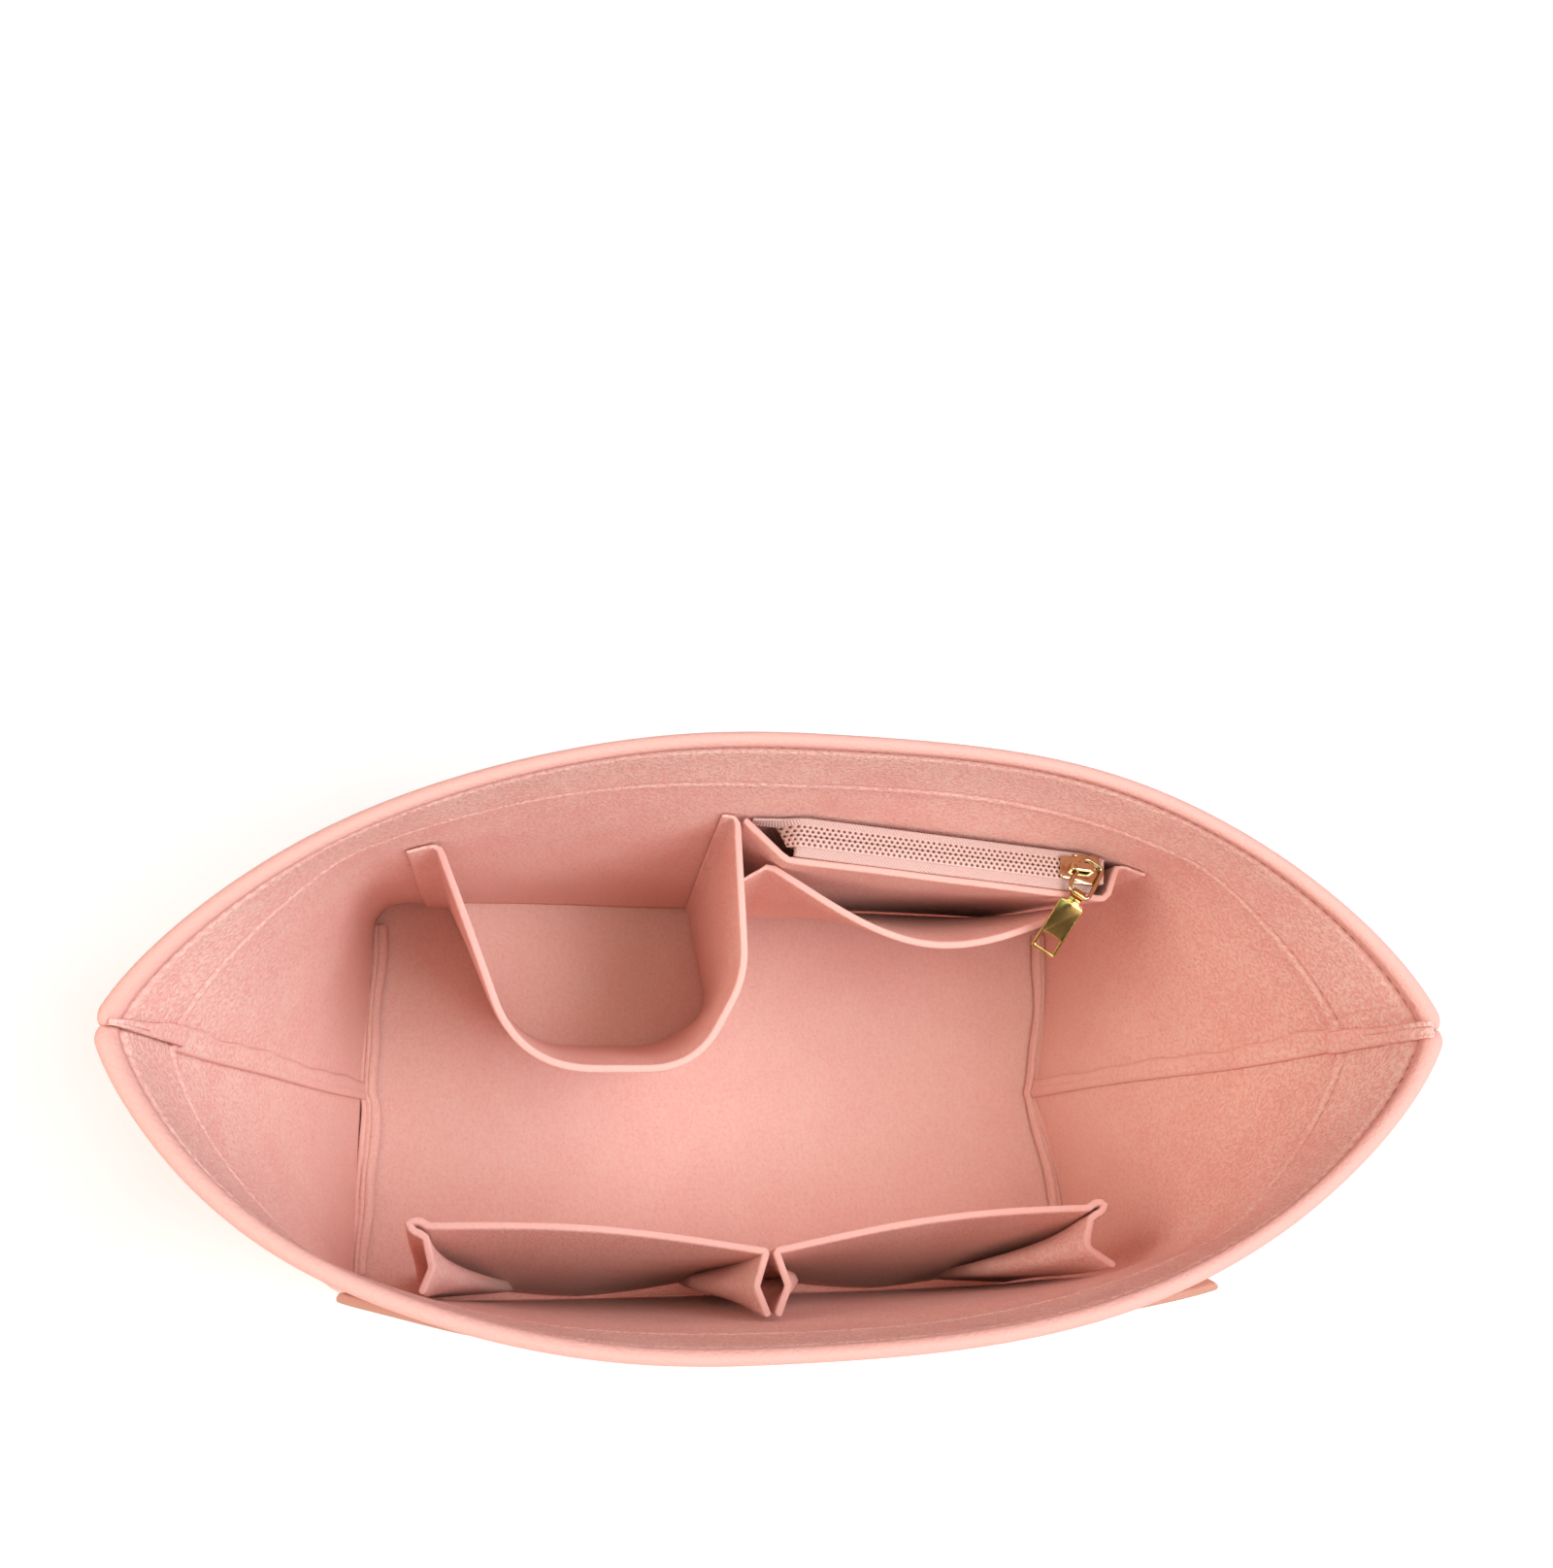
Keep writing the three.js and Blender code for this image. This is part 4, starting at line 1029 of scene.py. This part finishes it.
def front_line(plan, p, rise, side):
    """Plan line of a front pocket at a share of its height: gusset, face, pinched loop, gusset."""
    b = plan.b
    sewn, top = b.gap + b.felt / 2, b.height - b.hem_depth - p.front_drop
    inner, layer, wide = b.felt / 2 + 0.5 * b.gap, b.felt + b.gap, 0.85 * b.felt

    def at_top(along, distance):
        return plan.at(side * along, top, distance)

    def at_foot(along, layers):
        return plan.at(side * along, p.front_foot, sewn + layers * layer)

    start, end = at_top(inner, p.front_depth), at_top(p.front_end, p.front_depth)
    way = unit(end - start)
    away = facing(right_of(way), start - at_top(inner, sewn))
    lean = unit(way + 0.3 * away)
    back = facing(right_of(lean), -away)
    below = (1 - rise) * 0.11
    middle_fold = min(0.72 * p.gusset_fold + 0.3 * below, 0.55 * p.gusset_reach)
    outer_fold = min(p.gusset_fold + (0.75 if side < 0 else 0.4) * below, p.gusset_reach)
    upper = [(at_top(inner, sewn), 0), (at_top(inner + middle_fold, 0.5 * p.front_depth), 0.0025)]
    upper.append((start, 0.0008))
    lower = [at_foot(inner, 0), at_foot(inner + middle_fold, 1), at_foot(inner, 2)]
    for t in np.linspace(0, 1, 15)[1:-1]:
        upper.append((between(start, end, t) + away * p.front_bow * math.sin(math.pi * t), 0))
        lower.append(at_foot(between(inner, p.front_end, t), 2 * abs(2 * t - 1) ** 1.5))
    for on, over in ((0, 0), (0.6, -0.3), (1.25, 0.45), (0.6, 1.25), (0, 1)):
        upper.append((end + lean * on * p.loop + back * over * wide, 0.003 if on else 0.002))
    upper.append((at_top(p.front_end - outer_fold, 0.45 * p.front_depth), p.fold))
    upper.append((at_top(p.front_end - 0.0005 - 0.0035 * side, sewn), 0))
    pinched = ((0, 2), (0.002, 2.3), (0.004, 1.7), (0.002, 1.2), (0, 1.1))
    for past, layers in (*pinched, (-outer_fold, 0.9), (0, 0)):
        lower.append(at_foot(p.front_end + past, layers))
    return rounded([(between(low, high, rise), bend) for low, (high, bend) in zip(lower, upper)])


def front_pockets():
    """Sew the two pockets to the front wall"""
    b, p = settings()[:2]
    plan, rises = WallPlan(b), np.linspace(0, 1, 11)
    heights = between(p.front_foot, b.height - b.hem_depth - p.front_drop, rises)
    for side, word in ((1, "left"), (-1, "right")):
        name = f"front_{word}_pocket"
        rows = [front_line(plan, p, rise, side) for rise in rises]
        grid = standing_grid(rows, heights, step=0.0014, turned=True)
        sew(f"{name}_felt", name, grid, 0.82 * b.felt, "folded", ["front_wall_felt"])


def outer_pocket():
    """Sew the pocket outside the front wall"""
    b, p = settings()[:2]
    plan, places = WallPlan(b), np.linspace(0, 1, 81)
    turn_right, turn_left = 0.075, 0.013
    rises = np.linspace(0, 1, 25) ** 0.6
    heights = between(p.outer_foot, b.height - p.outer_drop, rises)
    rows = []
    for z, rise in zip(heights, rises):
        half = between(p.outer_foot_half, p.outer_top_half, rise)
        near = np.minimum(places, 1 - places) * 2 * half
        right, left = np.clip(1 - near / turn_right, 0, 1) ** 1.35, 0.18 * hump(near, turn_left, 1.5)
        turn = p.outer_flare * rise**14 * np.where(places < 0.5, right, left)
        mouth = p.outer_mouth * rise * np.sin(math.pi * places) + turn
        out = -(1.5 * b.felt + p.outer_slack + mouth)
        rows.append(plan.at(-half + (2 * half - 0.003) * places, z, out[:, None]))
    grid = standing_grid(rows, heights, step=0.0026, turned=True)
    # Painted shade on the pocket's cut edges and a band beside them.
    sew("outer_pocket_felt", "outer_pocket", grid, b.felt, "hung", ["front_wall_felt"], raw=1.0)


def centre_of(name):
    """Middle of a CAD node's box."""
    low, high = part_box(name)
    return (low + high) / 2


def frame_of(x, y, origin):
    """Matrix of a frame from two of its axes and its origin."""
    z = x.cross(y)
    return Matrix((*((x[k], y[k], z[k], origin[k]) for k in range(3)), (0, 0, 0, 1)))


def zip_frame():
    """Frame of the chain from the CAD: X along the zip, Y to the wall, Z up, origin in the chain's middle."""
    slide = next(j for j in frame["joints"] if j["name"] == "zip_slide")
    x = -Vector(slide["axis"]).normalized()
    origin = (centre_of("zip_rear_coil") + centre_of("zip_front_coil")) / 2
    return frame_of(x, Vector((0, 0, 1)).cross(x), origin)


def placed(points, matrix):
    """Points taken from a frame to the world."""
    m = np.array(matrix, float)
    return np.asarray(points) @ m[:3, :3].T + m[:3, 3]


def row_length(node_name, width, turn):
    """Length of a straight CAD bar of known width that lies turned in plan."""
    low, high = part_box(node_name)
    return ((high - low).x - width * abs(math.sin(turn))) / abs(math.cos(turn))


def add_hard(name, node_name, body_name, shape, matrix, material, masks=None):
    """Hard piece, shaped in a frame of its own, that stands for a CAD node."""
    piece = add_piece(name, placed(shape[0], matrix), shape[1], material, masks)
    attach(piece, body_name)
    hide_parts(node_name)
    return piece


def shape_of(build):
    """Points and faces of a bmesh, which is then freed."""
    build.verts.index_update()
    points = np.array([v.co for v in build.verts])
    faces = [tuple(v.index for v in f.verts) for f in build.faces]
    build.free()
    return points, faces


def block(length, width, height, bevel, at):
    """Bar with bevelled edges."""
    build = bmesh.new()
    matrix = Matrix.Translation(at) @ Matrix.Diagonal((length, width, height, 1))
    bmesh.ops.create_cube(build, size=1, matrix=matrix)
    bmesh.ops.bevel(build, geom=build.edges[:], offset=bevel, segments=3, profile=0.6, affect="EDGES")
    return shape_of(build)


def coil_row(b, c, side, long):
    """Flattened helix of one row, whose heads reach the middle line."""
    t = np.arange(0, long / c.coil_pitch, 1 / 16)
    turn = 2 * math.pi * t
    half, tall = c.coil_width / 2 - c.coil_wire, 0.3 * c.coil_height - c.coil_wire
    x = -long / 2 + t * c.coil_pitch + (0.5 * c.coil_pitch if side < 0 else 0)
    middle = side * (b.gap / 2 + c.coil_width / 2 + 0.00003)
    y = middle + half * np.sign(np.cos(turn)) * np.abs(np.cos(turn)) ** 0.7
    z = tall * np.sin(turn) - 0.2 * c.coil_height
    return tube(joined(np.minimum(x, long / 2), y, z), c.coil_wire, 7)


def knit(b, c, side, long):
    """Knit over a row of the coil, with staggered rows of holes: points, faces and how deep each point is."""
    left, right, row, radius = 0.0052, 0.0045, 0.00155, 0.00056
    x = np.linspace(-long / 2 - left, long / 2 + right, int(long / 0.00017))[:, None]
    out = np.linspace(0.2 * b.gap, b.gap / 2 + c.coil_width, 27)
    hole = np.zeros((len(x), len(out)))
    for k in range(3):
        beat = x / c.coil_pitch + k % 2 / 2
        away = ((beat - np.round(beat)) * c.coil_pitch) ** 2 + (out - k * row) ** 2
        hole = np.maximum(hole, hump(away, radius**2, 1.6))
    rib = 0.00009 * np.cos(2 * math.pi * x / c.coil_pitch) * np.cos(math.pi * out / row)
    edge = 0.0006 * np.abs(out / (b.gap / 2 + c.coil_width)) ** 7
    high = c.coil_height / 2 - 0.00016 - edge + rib - 0.001 * hole
    upper = joined(x, side * out, high)
    lower = upper * (1, 1, 0) + (0, 0, 0.0001)
    upper[[0, -1]] *= (1, 1, 0.5)
    upper[:, -1, 2] = 0.0005
    points = np.concatenate([upper.reshape(-1, 3), lower[1:-1, 1:-1].reshape(-1, 3)])
    faces = skin_faces(*hole.shape)[:, ::-side]
    return points, faces, np.concatenate([hole.reshape(-1), np.zeros(len(points) - hole.size)])


def dip(x, long):
    """How far the chain's left end is turned down into the hollow behind the panel."""
    reach = 0.0065
    return reach * np.clip((0.001 - long / 2 - x) / reach, 0, 1.3) ** 1.6


def tapes(matrix, long, material):
    """Rear tape with its edge rolled up by the wall, and front tape turned down behind the panel."""
    b, p, c, _ = settings()
    plan = WallPlan(b)
    layout = ZipPlan(plan, p, c)
    wall = plan.line(layout.height, b.felt + b.gap)
    wall = wall[wall[:, 1] > REAR_FROM]
    wall = placed(layout.pulled(joined(*wall.T, layout.height)), matrix.inverted())
    centre = (matrix.inverted() @ centre_of("zip_rear_tape")).x
    half = layout.length / 2 - b.felt / 2 - b.gap
    under, past, deepest = 0.0008, 0.0055, 0.006
    edge = b.gap / 2 + c.coil_width - under

    def lay(name, x, rows):
        down = np.minimum(dip(x, long), deepest)
        grid = np.stack([joined(x, y, z - down * kept) for y, z, kept in rows], axis=1)
        piece, flat = felt_sheet(name, placed(grid, matrix), 0.8 * c.tape, material)
        declare(piece, f"zip_{name}")

    x = centre - half - past + close_set(2 * half + past, 0.002, 0.0006)
    back = np.interp(x, wall[:, 0], wall[:, 1]) - 0.0005
    roll_width, roll_height, hang = 0.0022, 0.0013, 0.0075
    crest = np.minimum(back - 0.0014, edge + 0.0045)
    foot = np.maximum(crest - roll_width, edge + 0.0004)
    rows = []
    for t in np.linspace(0, 1, 34):
        flat, crown, fall = np.clip((t / 0.3, (t - 0.3) / 0.4, (t - 0.7) / 0.3), 0, 1)
        y = between(edge, foot, flat) + (crest + 0.0004 - foot) * (1 - math.cos(math.pi * crown)) / 2
        y = y + 0.0002 * fall
        z = -0.0001 + 0.0002 * flat + roll_height * math.sin(0.5 * math.pi * crown) ** 1.3 - hang * fall**0.9
        rows.append((y, z, 1 - 0.75 * crown))
    lay("rear_tape", x, rows)
    x = centre + np.linspace(-half + 0.2 * p.fold + p.zip_slant, half - p.fold, 90)
    inside, hang = layout.tape_edge + c.tape_seen - 0.0002, 0.0078
    rows = []
    for t in np.linspace(0, 1, 28):
        flat, fall = np.clip((t / 0.45, (t - 0.4) / 0.6), 0, 1)
        rows.append((-between(edge, inside, flat), -0.0002 - hang * fall**1.5, 1 - 0.7 * flat))
    lay("front_tape", x, rows)


def zip_chain():
    """Make the zip's tapes, coils and stops"""
    b, _, c, _ = settings()
    matrix, coil = zip_frame(), coil_material()
    turn = math.atan2(matrix[1][0], matrix[0][0])
    long = row_length("zip_rear_coil", c.coil_width, turn)
    tapes(matrix, long, tape_material(turn))
    for side, word in ((1, "rear"), (-1, "front")):
        name, row, (*over, depth) = f"{word}_coil", coil_row(b, c, side, long), knit(b, c, side, long)
        points, faces = gather([row, over])
        points[:, 0] += np.minimum(points[:, 0] + long / 2, 0) * 85 * points[:, 1]
        points[:, 2] -= dip(points[:, 0], long)
        # The knit's holes carry a mask below nought, for painted shade.
        masks = np.concatenate([np.zeros(len(row[0])), -depth])
        add_hard(name, f"zip_{name}", "insert", (points, faces), matrix, coil, masks)
    for word, rows, shade in (("rear", 1, 0.0), ("front", 1, 0.0), ("bottom", 2, -0.45)):
        at = matrix.inverted() @ centre_of(f"zip_{word}_stop")
        at.z -= float(dip(at.x - 0.001, long)) * 1.5
        bar = block(0.0016, c.coil_width * rows, c.coil_height * 0.96, 0.0004, at)
        masks = np.full(len(bar[0]), shade)
        add_hard(f"chain_{word}_stop", f"zip_{word}_stop", "insert", bar, matrix, coil, masks)


def cut_plate(outlines, thick, bevel):
    """Flat plate cut to outlines, the first the outside and the rest holes, with rounded edges."""
    curve = bpy.data.curves.new("cut", "CURVE")
    curve.dimensions, curve.fill_mode, curve.bevel_resolution = "2D", "BOTH", 2
    curve.extrude, curve.bevel_depth, curve.offset = thick / 2 - bevel, bevel, -bevel
    for outline in outlines:
        spline = curve.splines.new("POLY")
        spline.points.add(len(outline) - 1)
        spline.points.foreach_set("co", joined(*outline.T, 0, 1).ravel())
        spline.use_cyclic_u = True
    holder = bpy.data.objects.new("cut", curve)
    mesh = bpy.data.meshes.new_from_object(holder)
    build = bmesh.new()
    build.from_mesh(mesh)
    bmesh.ops.remove_doubles(build, verts=build.verts, dist=1e-6)
    bmesh.ops.recalc_face_normals(build, faces=build.faces)
    bpy.data.objects.remove(holder)
    bpy.data.curves.remove(curve)
    bpy.data.meshes.remove(mesh)
    return shape_of(build)


def loop_line(corners, radius):
    """Closed outline with every corner rounded."""
    middle = (np.asarray(corners[0], float) + corners[-1]) / 2
    return rounded([(middle, 0)] + [(c, radius) for c in corners] + [(middle, 0)])[:-1]


def bridge(c, foot):
    """Arch along the slider, with a rounded strap for its section."""
    half, tall = (c.bridge_length - c.bridge_thick) / 2, c.link_wire + 0.0006 + c.bridge_thick / 2
    sunk, bend = -0.0006, 0.0024
    corners = [((-half, sunk), 0), ((-half, tall), bend), ((half, tall), bend), ((half, sunk), 0)]
    line = even(rounded(corners), np.linspace(0, 1, 40))
    way = ways(line)
    strap = loop_line([(-1, -1), (1, -1), (1, 1), (-1, 1)], 0.5) * (c.bridge_width / 2, c.bridge_thick / 2)
    x = line[:, :1] - way[:, 1:] * strap[:, 1]
    z = foot + line[:, 1:] + way[:, :1] * strap[:, 1]
    rings = joined(x, strap[:, 0], z)
    return rings.reshape(-1, 3), ring_faces(*rings.shape[:2])


def slider_shape(b, c):
    """Two plates with side lips, a web in the nose thin enough for the chain, and a bridge on top."""
    plate, bevel = c.slider_plate, 0.0003
    rise, drop = c.coil_height / 2 + b.gap, c.coil_height / 2 - c.tape / 2
    long, wide = c.slider_length / 2, c.slider_width / 2
    shares = ((-1, 0.74), (-0.35, 0.80), (0.15, 1), (0.9, 1), (1, 0.45))
    side = [(x * long, y * wide) for x, y in shares]
    outline = loop_line([(x, -y) for x, y in side] + [(0.8 * long, 0)] + side[::-1], 0.0016)
    points, faces = cut_plate([outline], plate, bevel)
    parts = [(points + (0, 0, way * (rise + plate / 2)), faces) for way in (1, -1)]
    for way in (1, -1):
        at = (0.25 * long, way * (wide - 0.0005), rise + plate / 2 - drop / 2)
        parts.append(block(1.2 * long, 0.0009, drop + 0.7 * plate, bevel, at))
    parts.append(block(0.003, 0.35 * b.gap, 2 * rise + 0.001, 0.00003, (long - 0.0027, 0, 0)))
    return gather(parts + [bridge(c, rise + plate)])


def link_shape(c):
    """Bent wire link."""
    wide, front, rear = c.link_width, -c.link_front, c.link_rear
    line = loop_line([(0, front), (wide, front), (wide, rear), (0, rear)], 0.0026)
    line = even(np.concatenate([line, line[:1]]), np.linspace(0, 1, 97))[:-1]
    return tube(joined(*line.T, 0), c.link_wire / 2, 14, closed=True)


def tab_shape(b, c):
    """Flat tab with a notched neck, a sleeve round the link and a window near its end."""
    bore, sleeve = c.link_wire / 2 + b.gap, 0.0008
    wide, neck, end = c.tab_width / 2, c.tab_neck / 2, -c.tab_length
    start = -bore - 0.0003
    half = [(neck, start), (neck, start - 0.0018), (wide, start - 0.0026), (wide, end)]
    outline = loop_line(half + [(-x, y) for x, y in half[::-1]], 0.0007)
    inner, foot = wide - c.tab_frame, end + c.tab_frame
    window = [(inner, foot), (inner, foot + c.tab_window), (-inner, foot + c.tab_window), (-inner, foot)]
    plate = cut_plate([outline, loop_line(window, 0.0005)], c.tab_thick, 0.0003)
    profile = [(-neck, bore), (neck, bore), (neck, bore + sleeve), (-neck, bore + sleeve)]
    x, radius = loop_line(profile, 0.00035).T
    turn = np.linspace(0, 2 * math.pi, 33)[:-1, None]
    rings = joined(x, radius * np.cos(turn), radius * np.sin(turn))
    return gather([plate, (rings.reshape(-1, 3), ring_faces(*rings.shape[:2], closed=True))])


def pull():
    """Make the slider, its link and the pull tab"""
    b, _, c, f = settings()
    # The tab's gilt is darker than the slider's: painted dark reflection.
    gilt, pale = gilt_material("gilt_plating", f.gilt), gilt_material("pale_gilt_plating", f.gilt_pale)
    joints = {j["name"]: j for j in frame["joints"]}
    leg, bar = (-Vector(joints[name]["axis"]).normalized() for name in ("link_swing", "tab_swing"))
    chain, middle = zip_frame(), centre_of("zip_slider")
    nose = frame_of(chain.col[0].xyz, chain.col[1].xyz, Vector((middle.x, middle.y, chain[2][3])))
    loop = frame_of(bar, leg, Vector(joints["link_swing"]["pos_m"]))
    hinge = Vector(joints["tab_swing"]["pos_m"])
    droop = math.asin(min(1.0, (hinge.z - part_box("pull_tab")[0].z - 0.0006) / c.tab_length))
    hung = frame_of(bar, leg * math.cos(droop) + Vector((0, 0, 1)) * math.sin(droop), hinge)
    slider = add_hard("gilt_slider", "zip_slider", "slider", slider_shape(b, c), nose, pale)
    add_hard("gilt_link", "pull_link", "link", link_shape(c), loop, pale)
    tab = add_hard("gilt_tab", "pull_tab", "tab", tab_shape(b, c), hung, gilt)
    for piece in (slider, tab):
        piece.data.set_sharp_from_angle(angle=math.radians(40))


def stitch_row(points, normals):
    """Stitches along a line: short bowed tubes whose ends dip into the felt."""
    cover, radius, lift = 0.78, 0.00032, 0.00018
    along = lengths(points)
    count = int(along[-1] / STITCH_PITCH)
    t = np.linspace(-0.5, 0.5, 7)
    parts = []
    for k in range(count):
        at = (k + 0.5 + t * cover) * along[-1] / count
        rise = unit(found(at, along, normals)) * (lift * (1 - 7 * t**2))[:, None]
        parts.append(tube(found(at, along, points) + rise, radius * (1 - 0.5 * np.abs(2 * t) ** 3), 6))
    return gather(parts)


def wall_row(plan, z, inset, way, turned):
    """Line on a wall's face, with normals to its inside or, for a way of -1, its outside."""
    line = plan.line(z, inset)[8:-8]
    out = right_of(ways(line)) * way
    points, normals = joined(line[:, 0], line[:, 1] + plan.b.gap / 2, z), joined(out[:, 0], out[:, 1], 0)
    mirror = (-1, -1, 1) if turned else (1, 1, 1)
    return soften(points * mirror), normals * mirror


def stitching():
    """Sew the stitch rows of the hem"""
    b = settings()[0]
    plan = WallPlan(b)
    rows = []
    for turned in (False, True):
        for z in (b.height - b.upper_stitch, b.height - b.hem_depth + b.lower_stitch):
            rows.append(wall_row(plan, z, 2 * b.pressed - b.groove, 1, turned))
            rows.append(wall_row(plan, z, OUTER_GROOVE * b.groove, -1, turned))
    piece = add_piece("hem_stitches", *gather([stitch_row(*row) for row in rows]), thread_material())
    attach(piece, "insert")


def stage():
    """Set the floor, the lights and the camera"""
    scene, s = bpy.context.scene, bpy.context.scene.insert_stage
    scene.view_settings.view_transform = "Standard"
    eye = Vector(s.eye)
    ahead = (Vector(s.aim) - eye).normalized()
    right = ahead.cross(Vector((0, 1, 0))).normalized()
    up = right.cross(ahead)
    cos, sin = math.cos(s.roll), math.sin(s.roll)
    camera = bpy.data.objects.new("camera", bpy.data.cameras.new("camera"))
    camera.data.lens, camera.data.sensor_width = s.lens, 36
    camera.data.clip_start, camera.data.clip_end = 0.01, 50
    camera.matrix_world = frame_of(right * cos + up * sin, up * cos - right * sin, eye)
    scene.collection.objects.link(camera)
    scene.camera = camera
    for name, place, power, across, colour in (
        ("left_light", (-1.4, 0.0, 1.1), s.left, 1.2, (1.0, 0.905, 0.815)),
        ("right_light", (0.8, -0.35, 1.7), s.right, 1.0, (0.85, 0.94, 1.0)),
        ("side_light", (1.4, 0.0, 1.1), s.side, 1.2, (0.61, 0.83, 1.0)),
        ("front_light", (0.2, -1.4, 1.1), s.front, 1.2, (1.0, 1.0, 0.975)),
        ("rear_light", (0.7, 0.5, 1.7), s.rear, 0.9, (0.95, 0.93, 1.0)),
        ("top_light", (-0.05, -0.05, 1.7), s.top, 0.6, (0.6, 1.0, 0.88)),
    ):
        light = bpy.data.objects.new(name, bpy.data.lights.new(name, "AREA"))
        light.data.energy, light.data.size, light.data.color = power, across, colour
        light.location = place
        light.rotation_mode = "QUATERNION"
        light.rotation_quaternion = (Vector((0, 0, 0.1)) - Vector(place)).to_track_quat("-Z", "Y")
        scene.collection.objects.link(light)
    scene.world = bpy.data.worlds.new("studio")
    scene.world.use_nodes = True
    tree = scene.world.node_tree
    fill(tree, tree.nodes["Background"], {0: (0.95, 1.0, 0.98, 1), 1: s.sky})
    far, low = 4.0, -0.0004
    corners = [(far * x, far * y, low) for x, y in ((-1, -1), (1, -1), (1, 1), (-1, 1))]
    mesh = bpy.data.meshes.new("floor")
    mesh.from_pydata(corners, [], [(0, 1, 2, 3)])
    mesh.materials.append(floor_material())
    floor = bpy.data.objects.new("floor", mesh)
    scene.collection.objects.link(floor)


def step(make, label):
    """Operator that runs one of the functions above, with its name and its description."""

    def execute(self, context):
        make()
        return {"FINISHED"}

    name = make.__name__
    traits = {"bl_idname": f"insert.{name}", "bl_label": label, "__doc__": make.__doc__, "execute": execute}
    return type(f"INSERT_OT_{name}", (bpy.types.Operator,), traits)


OPERATORS = (
    step(stage, "Stage"),
    step(body, "Walls and Base"),
    step(seams, "Seam Strips"),
    step(bottle_pocket, "Bottle Pocket"),
    step(zip_pocket, "Zip and Slip Pockets"),
    step(front_pockets, "Front Pockets"),
    step(outer_pocket, "Outer Pocket"),
    step(zip_chain, "Zip"),
    step(pull, "Slider and Pull"),
    step(stitching, "Stitching"),
)
SETTINGS = {
    InsertBody: "insert_body",
    InsertPockets: "insert_pockets",
    InsertZip: "insert_zip",
    InsertFinish: "insert_finish",
    InsertStage: "insert_stage",
}


class INSERT_PT_panel(bpy.types.Panel):
    """Lists the steps that make the insert, and its settings"""

    bl_idname = "INSERT_PT_panel"
    bl_label = "Felt Insert"
    bl_space_type = "VIEW_3D"
    bl_region_type = "UI"
    bl_category = "Insert"

    def draw(self, context):
        for operator in OPERATORS:
            self.layout.operator(operator.bl_idname)
        for group, name in SETTINGS.items():
            box = self.layout.box()
            for setting in group.__annotations__:
                box.prop(getattr(context.scene, name), setting)


def register():
    """Add the settings, named by their keys, the operators and the panel."""
    for group in SETTINGS:
        for name, setting in group.__annotations__.items():
            setting.keywords["name"] = name.replace("_", " ").title()
    for kind in (*SETTINGS, *OPERATORS, INSERT_PT_panel):
        bpy.utils.register_class(kind)
    for group, name in SETTINGS.items():
        setattr(bpy.types.Scene, name, bpy.props.PointerProperty(type=group))


def unregister():
    """Take away all that register added."""
    for name in SETTINGS.values():
        delattr(bpy.types.Scene, name)
    for kind in (INSERT_PT_panel, *reversed(OPERATORS), *reversed(SETTINGS)):
        bpy.utils.unregister_class(kind)


def main():
    """Register the add-on, make every piece, and write the sizes."""
    register()
    for operator in OPERATORS:
        group, name = operator.bl_idname.split(".")
        getattr(getattr(bpy.ops, group), name)()


if __name__ == "__main__":
    main()
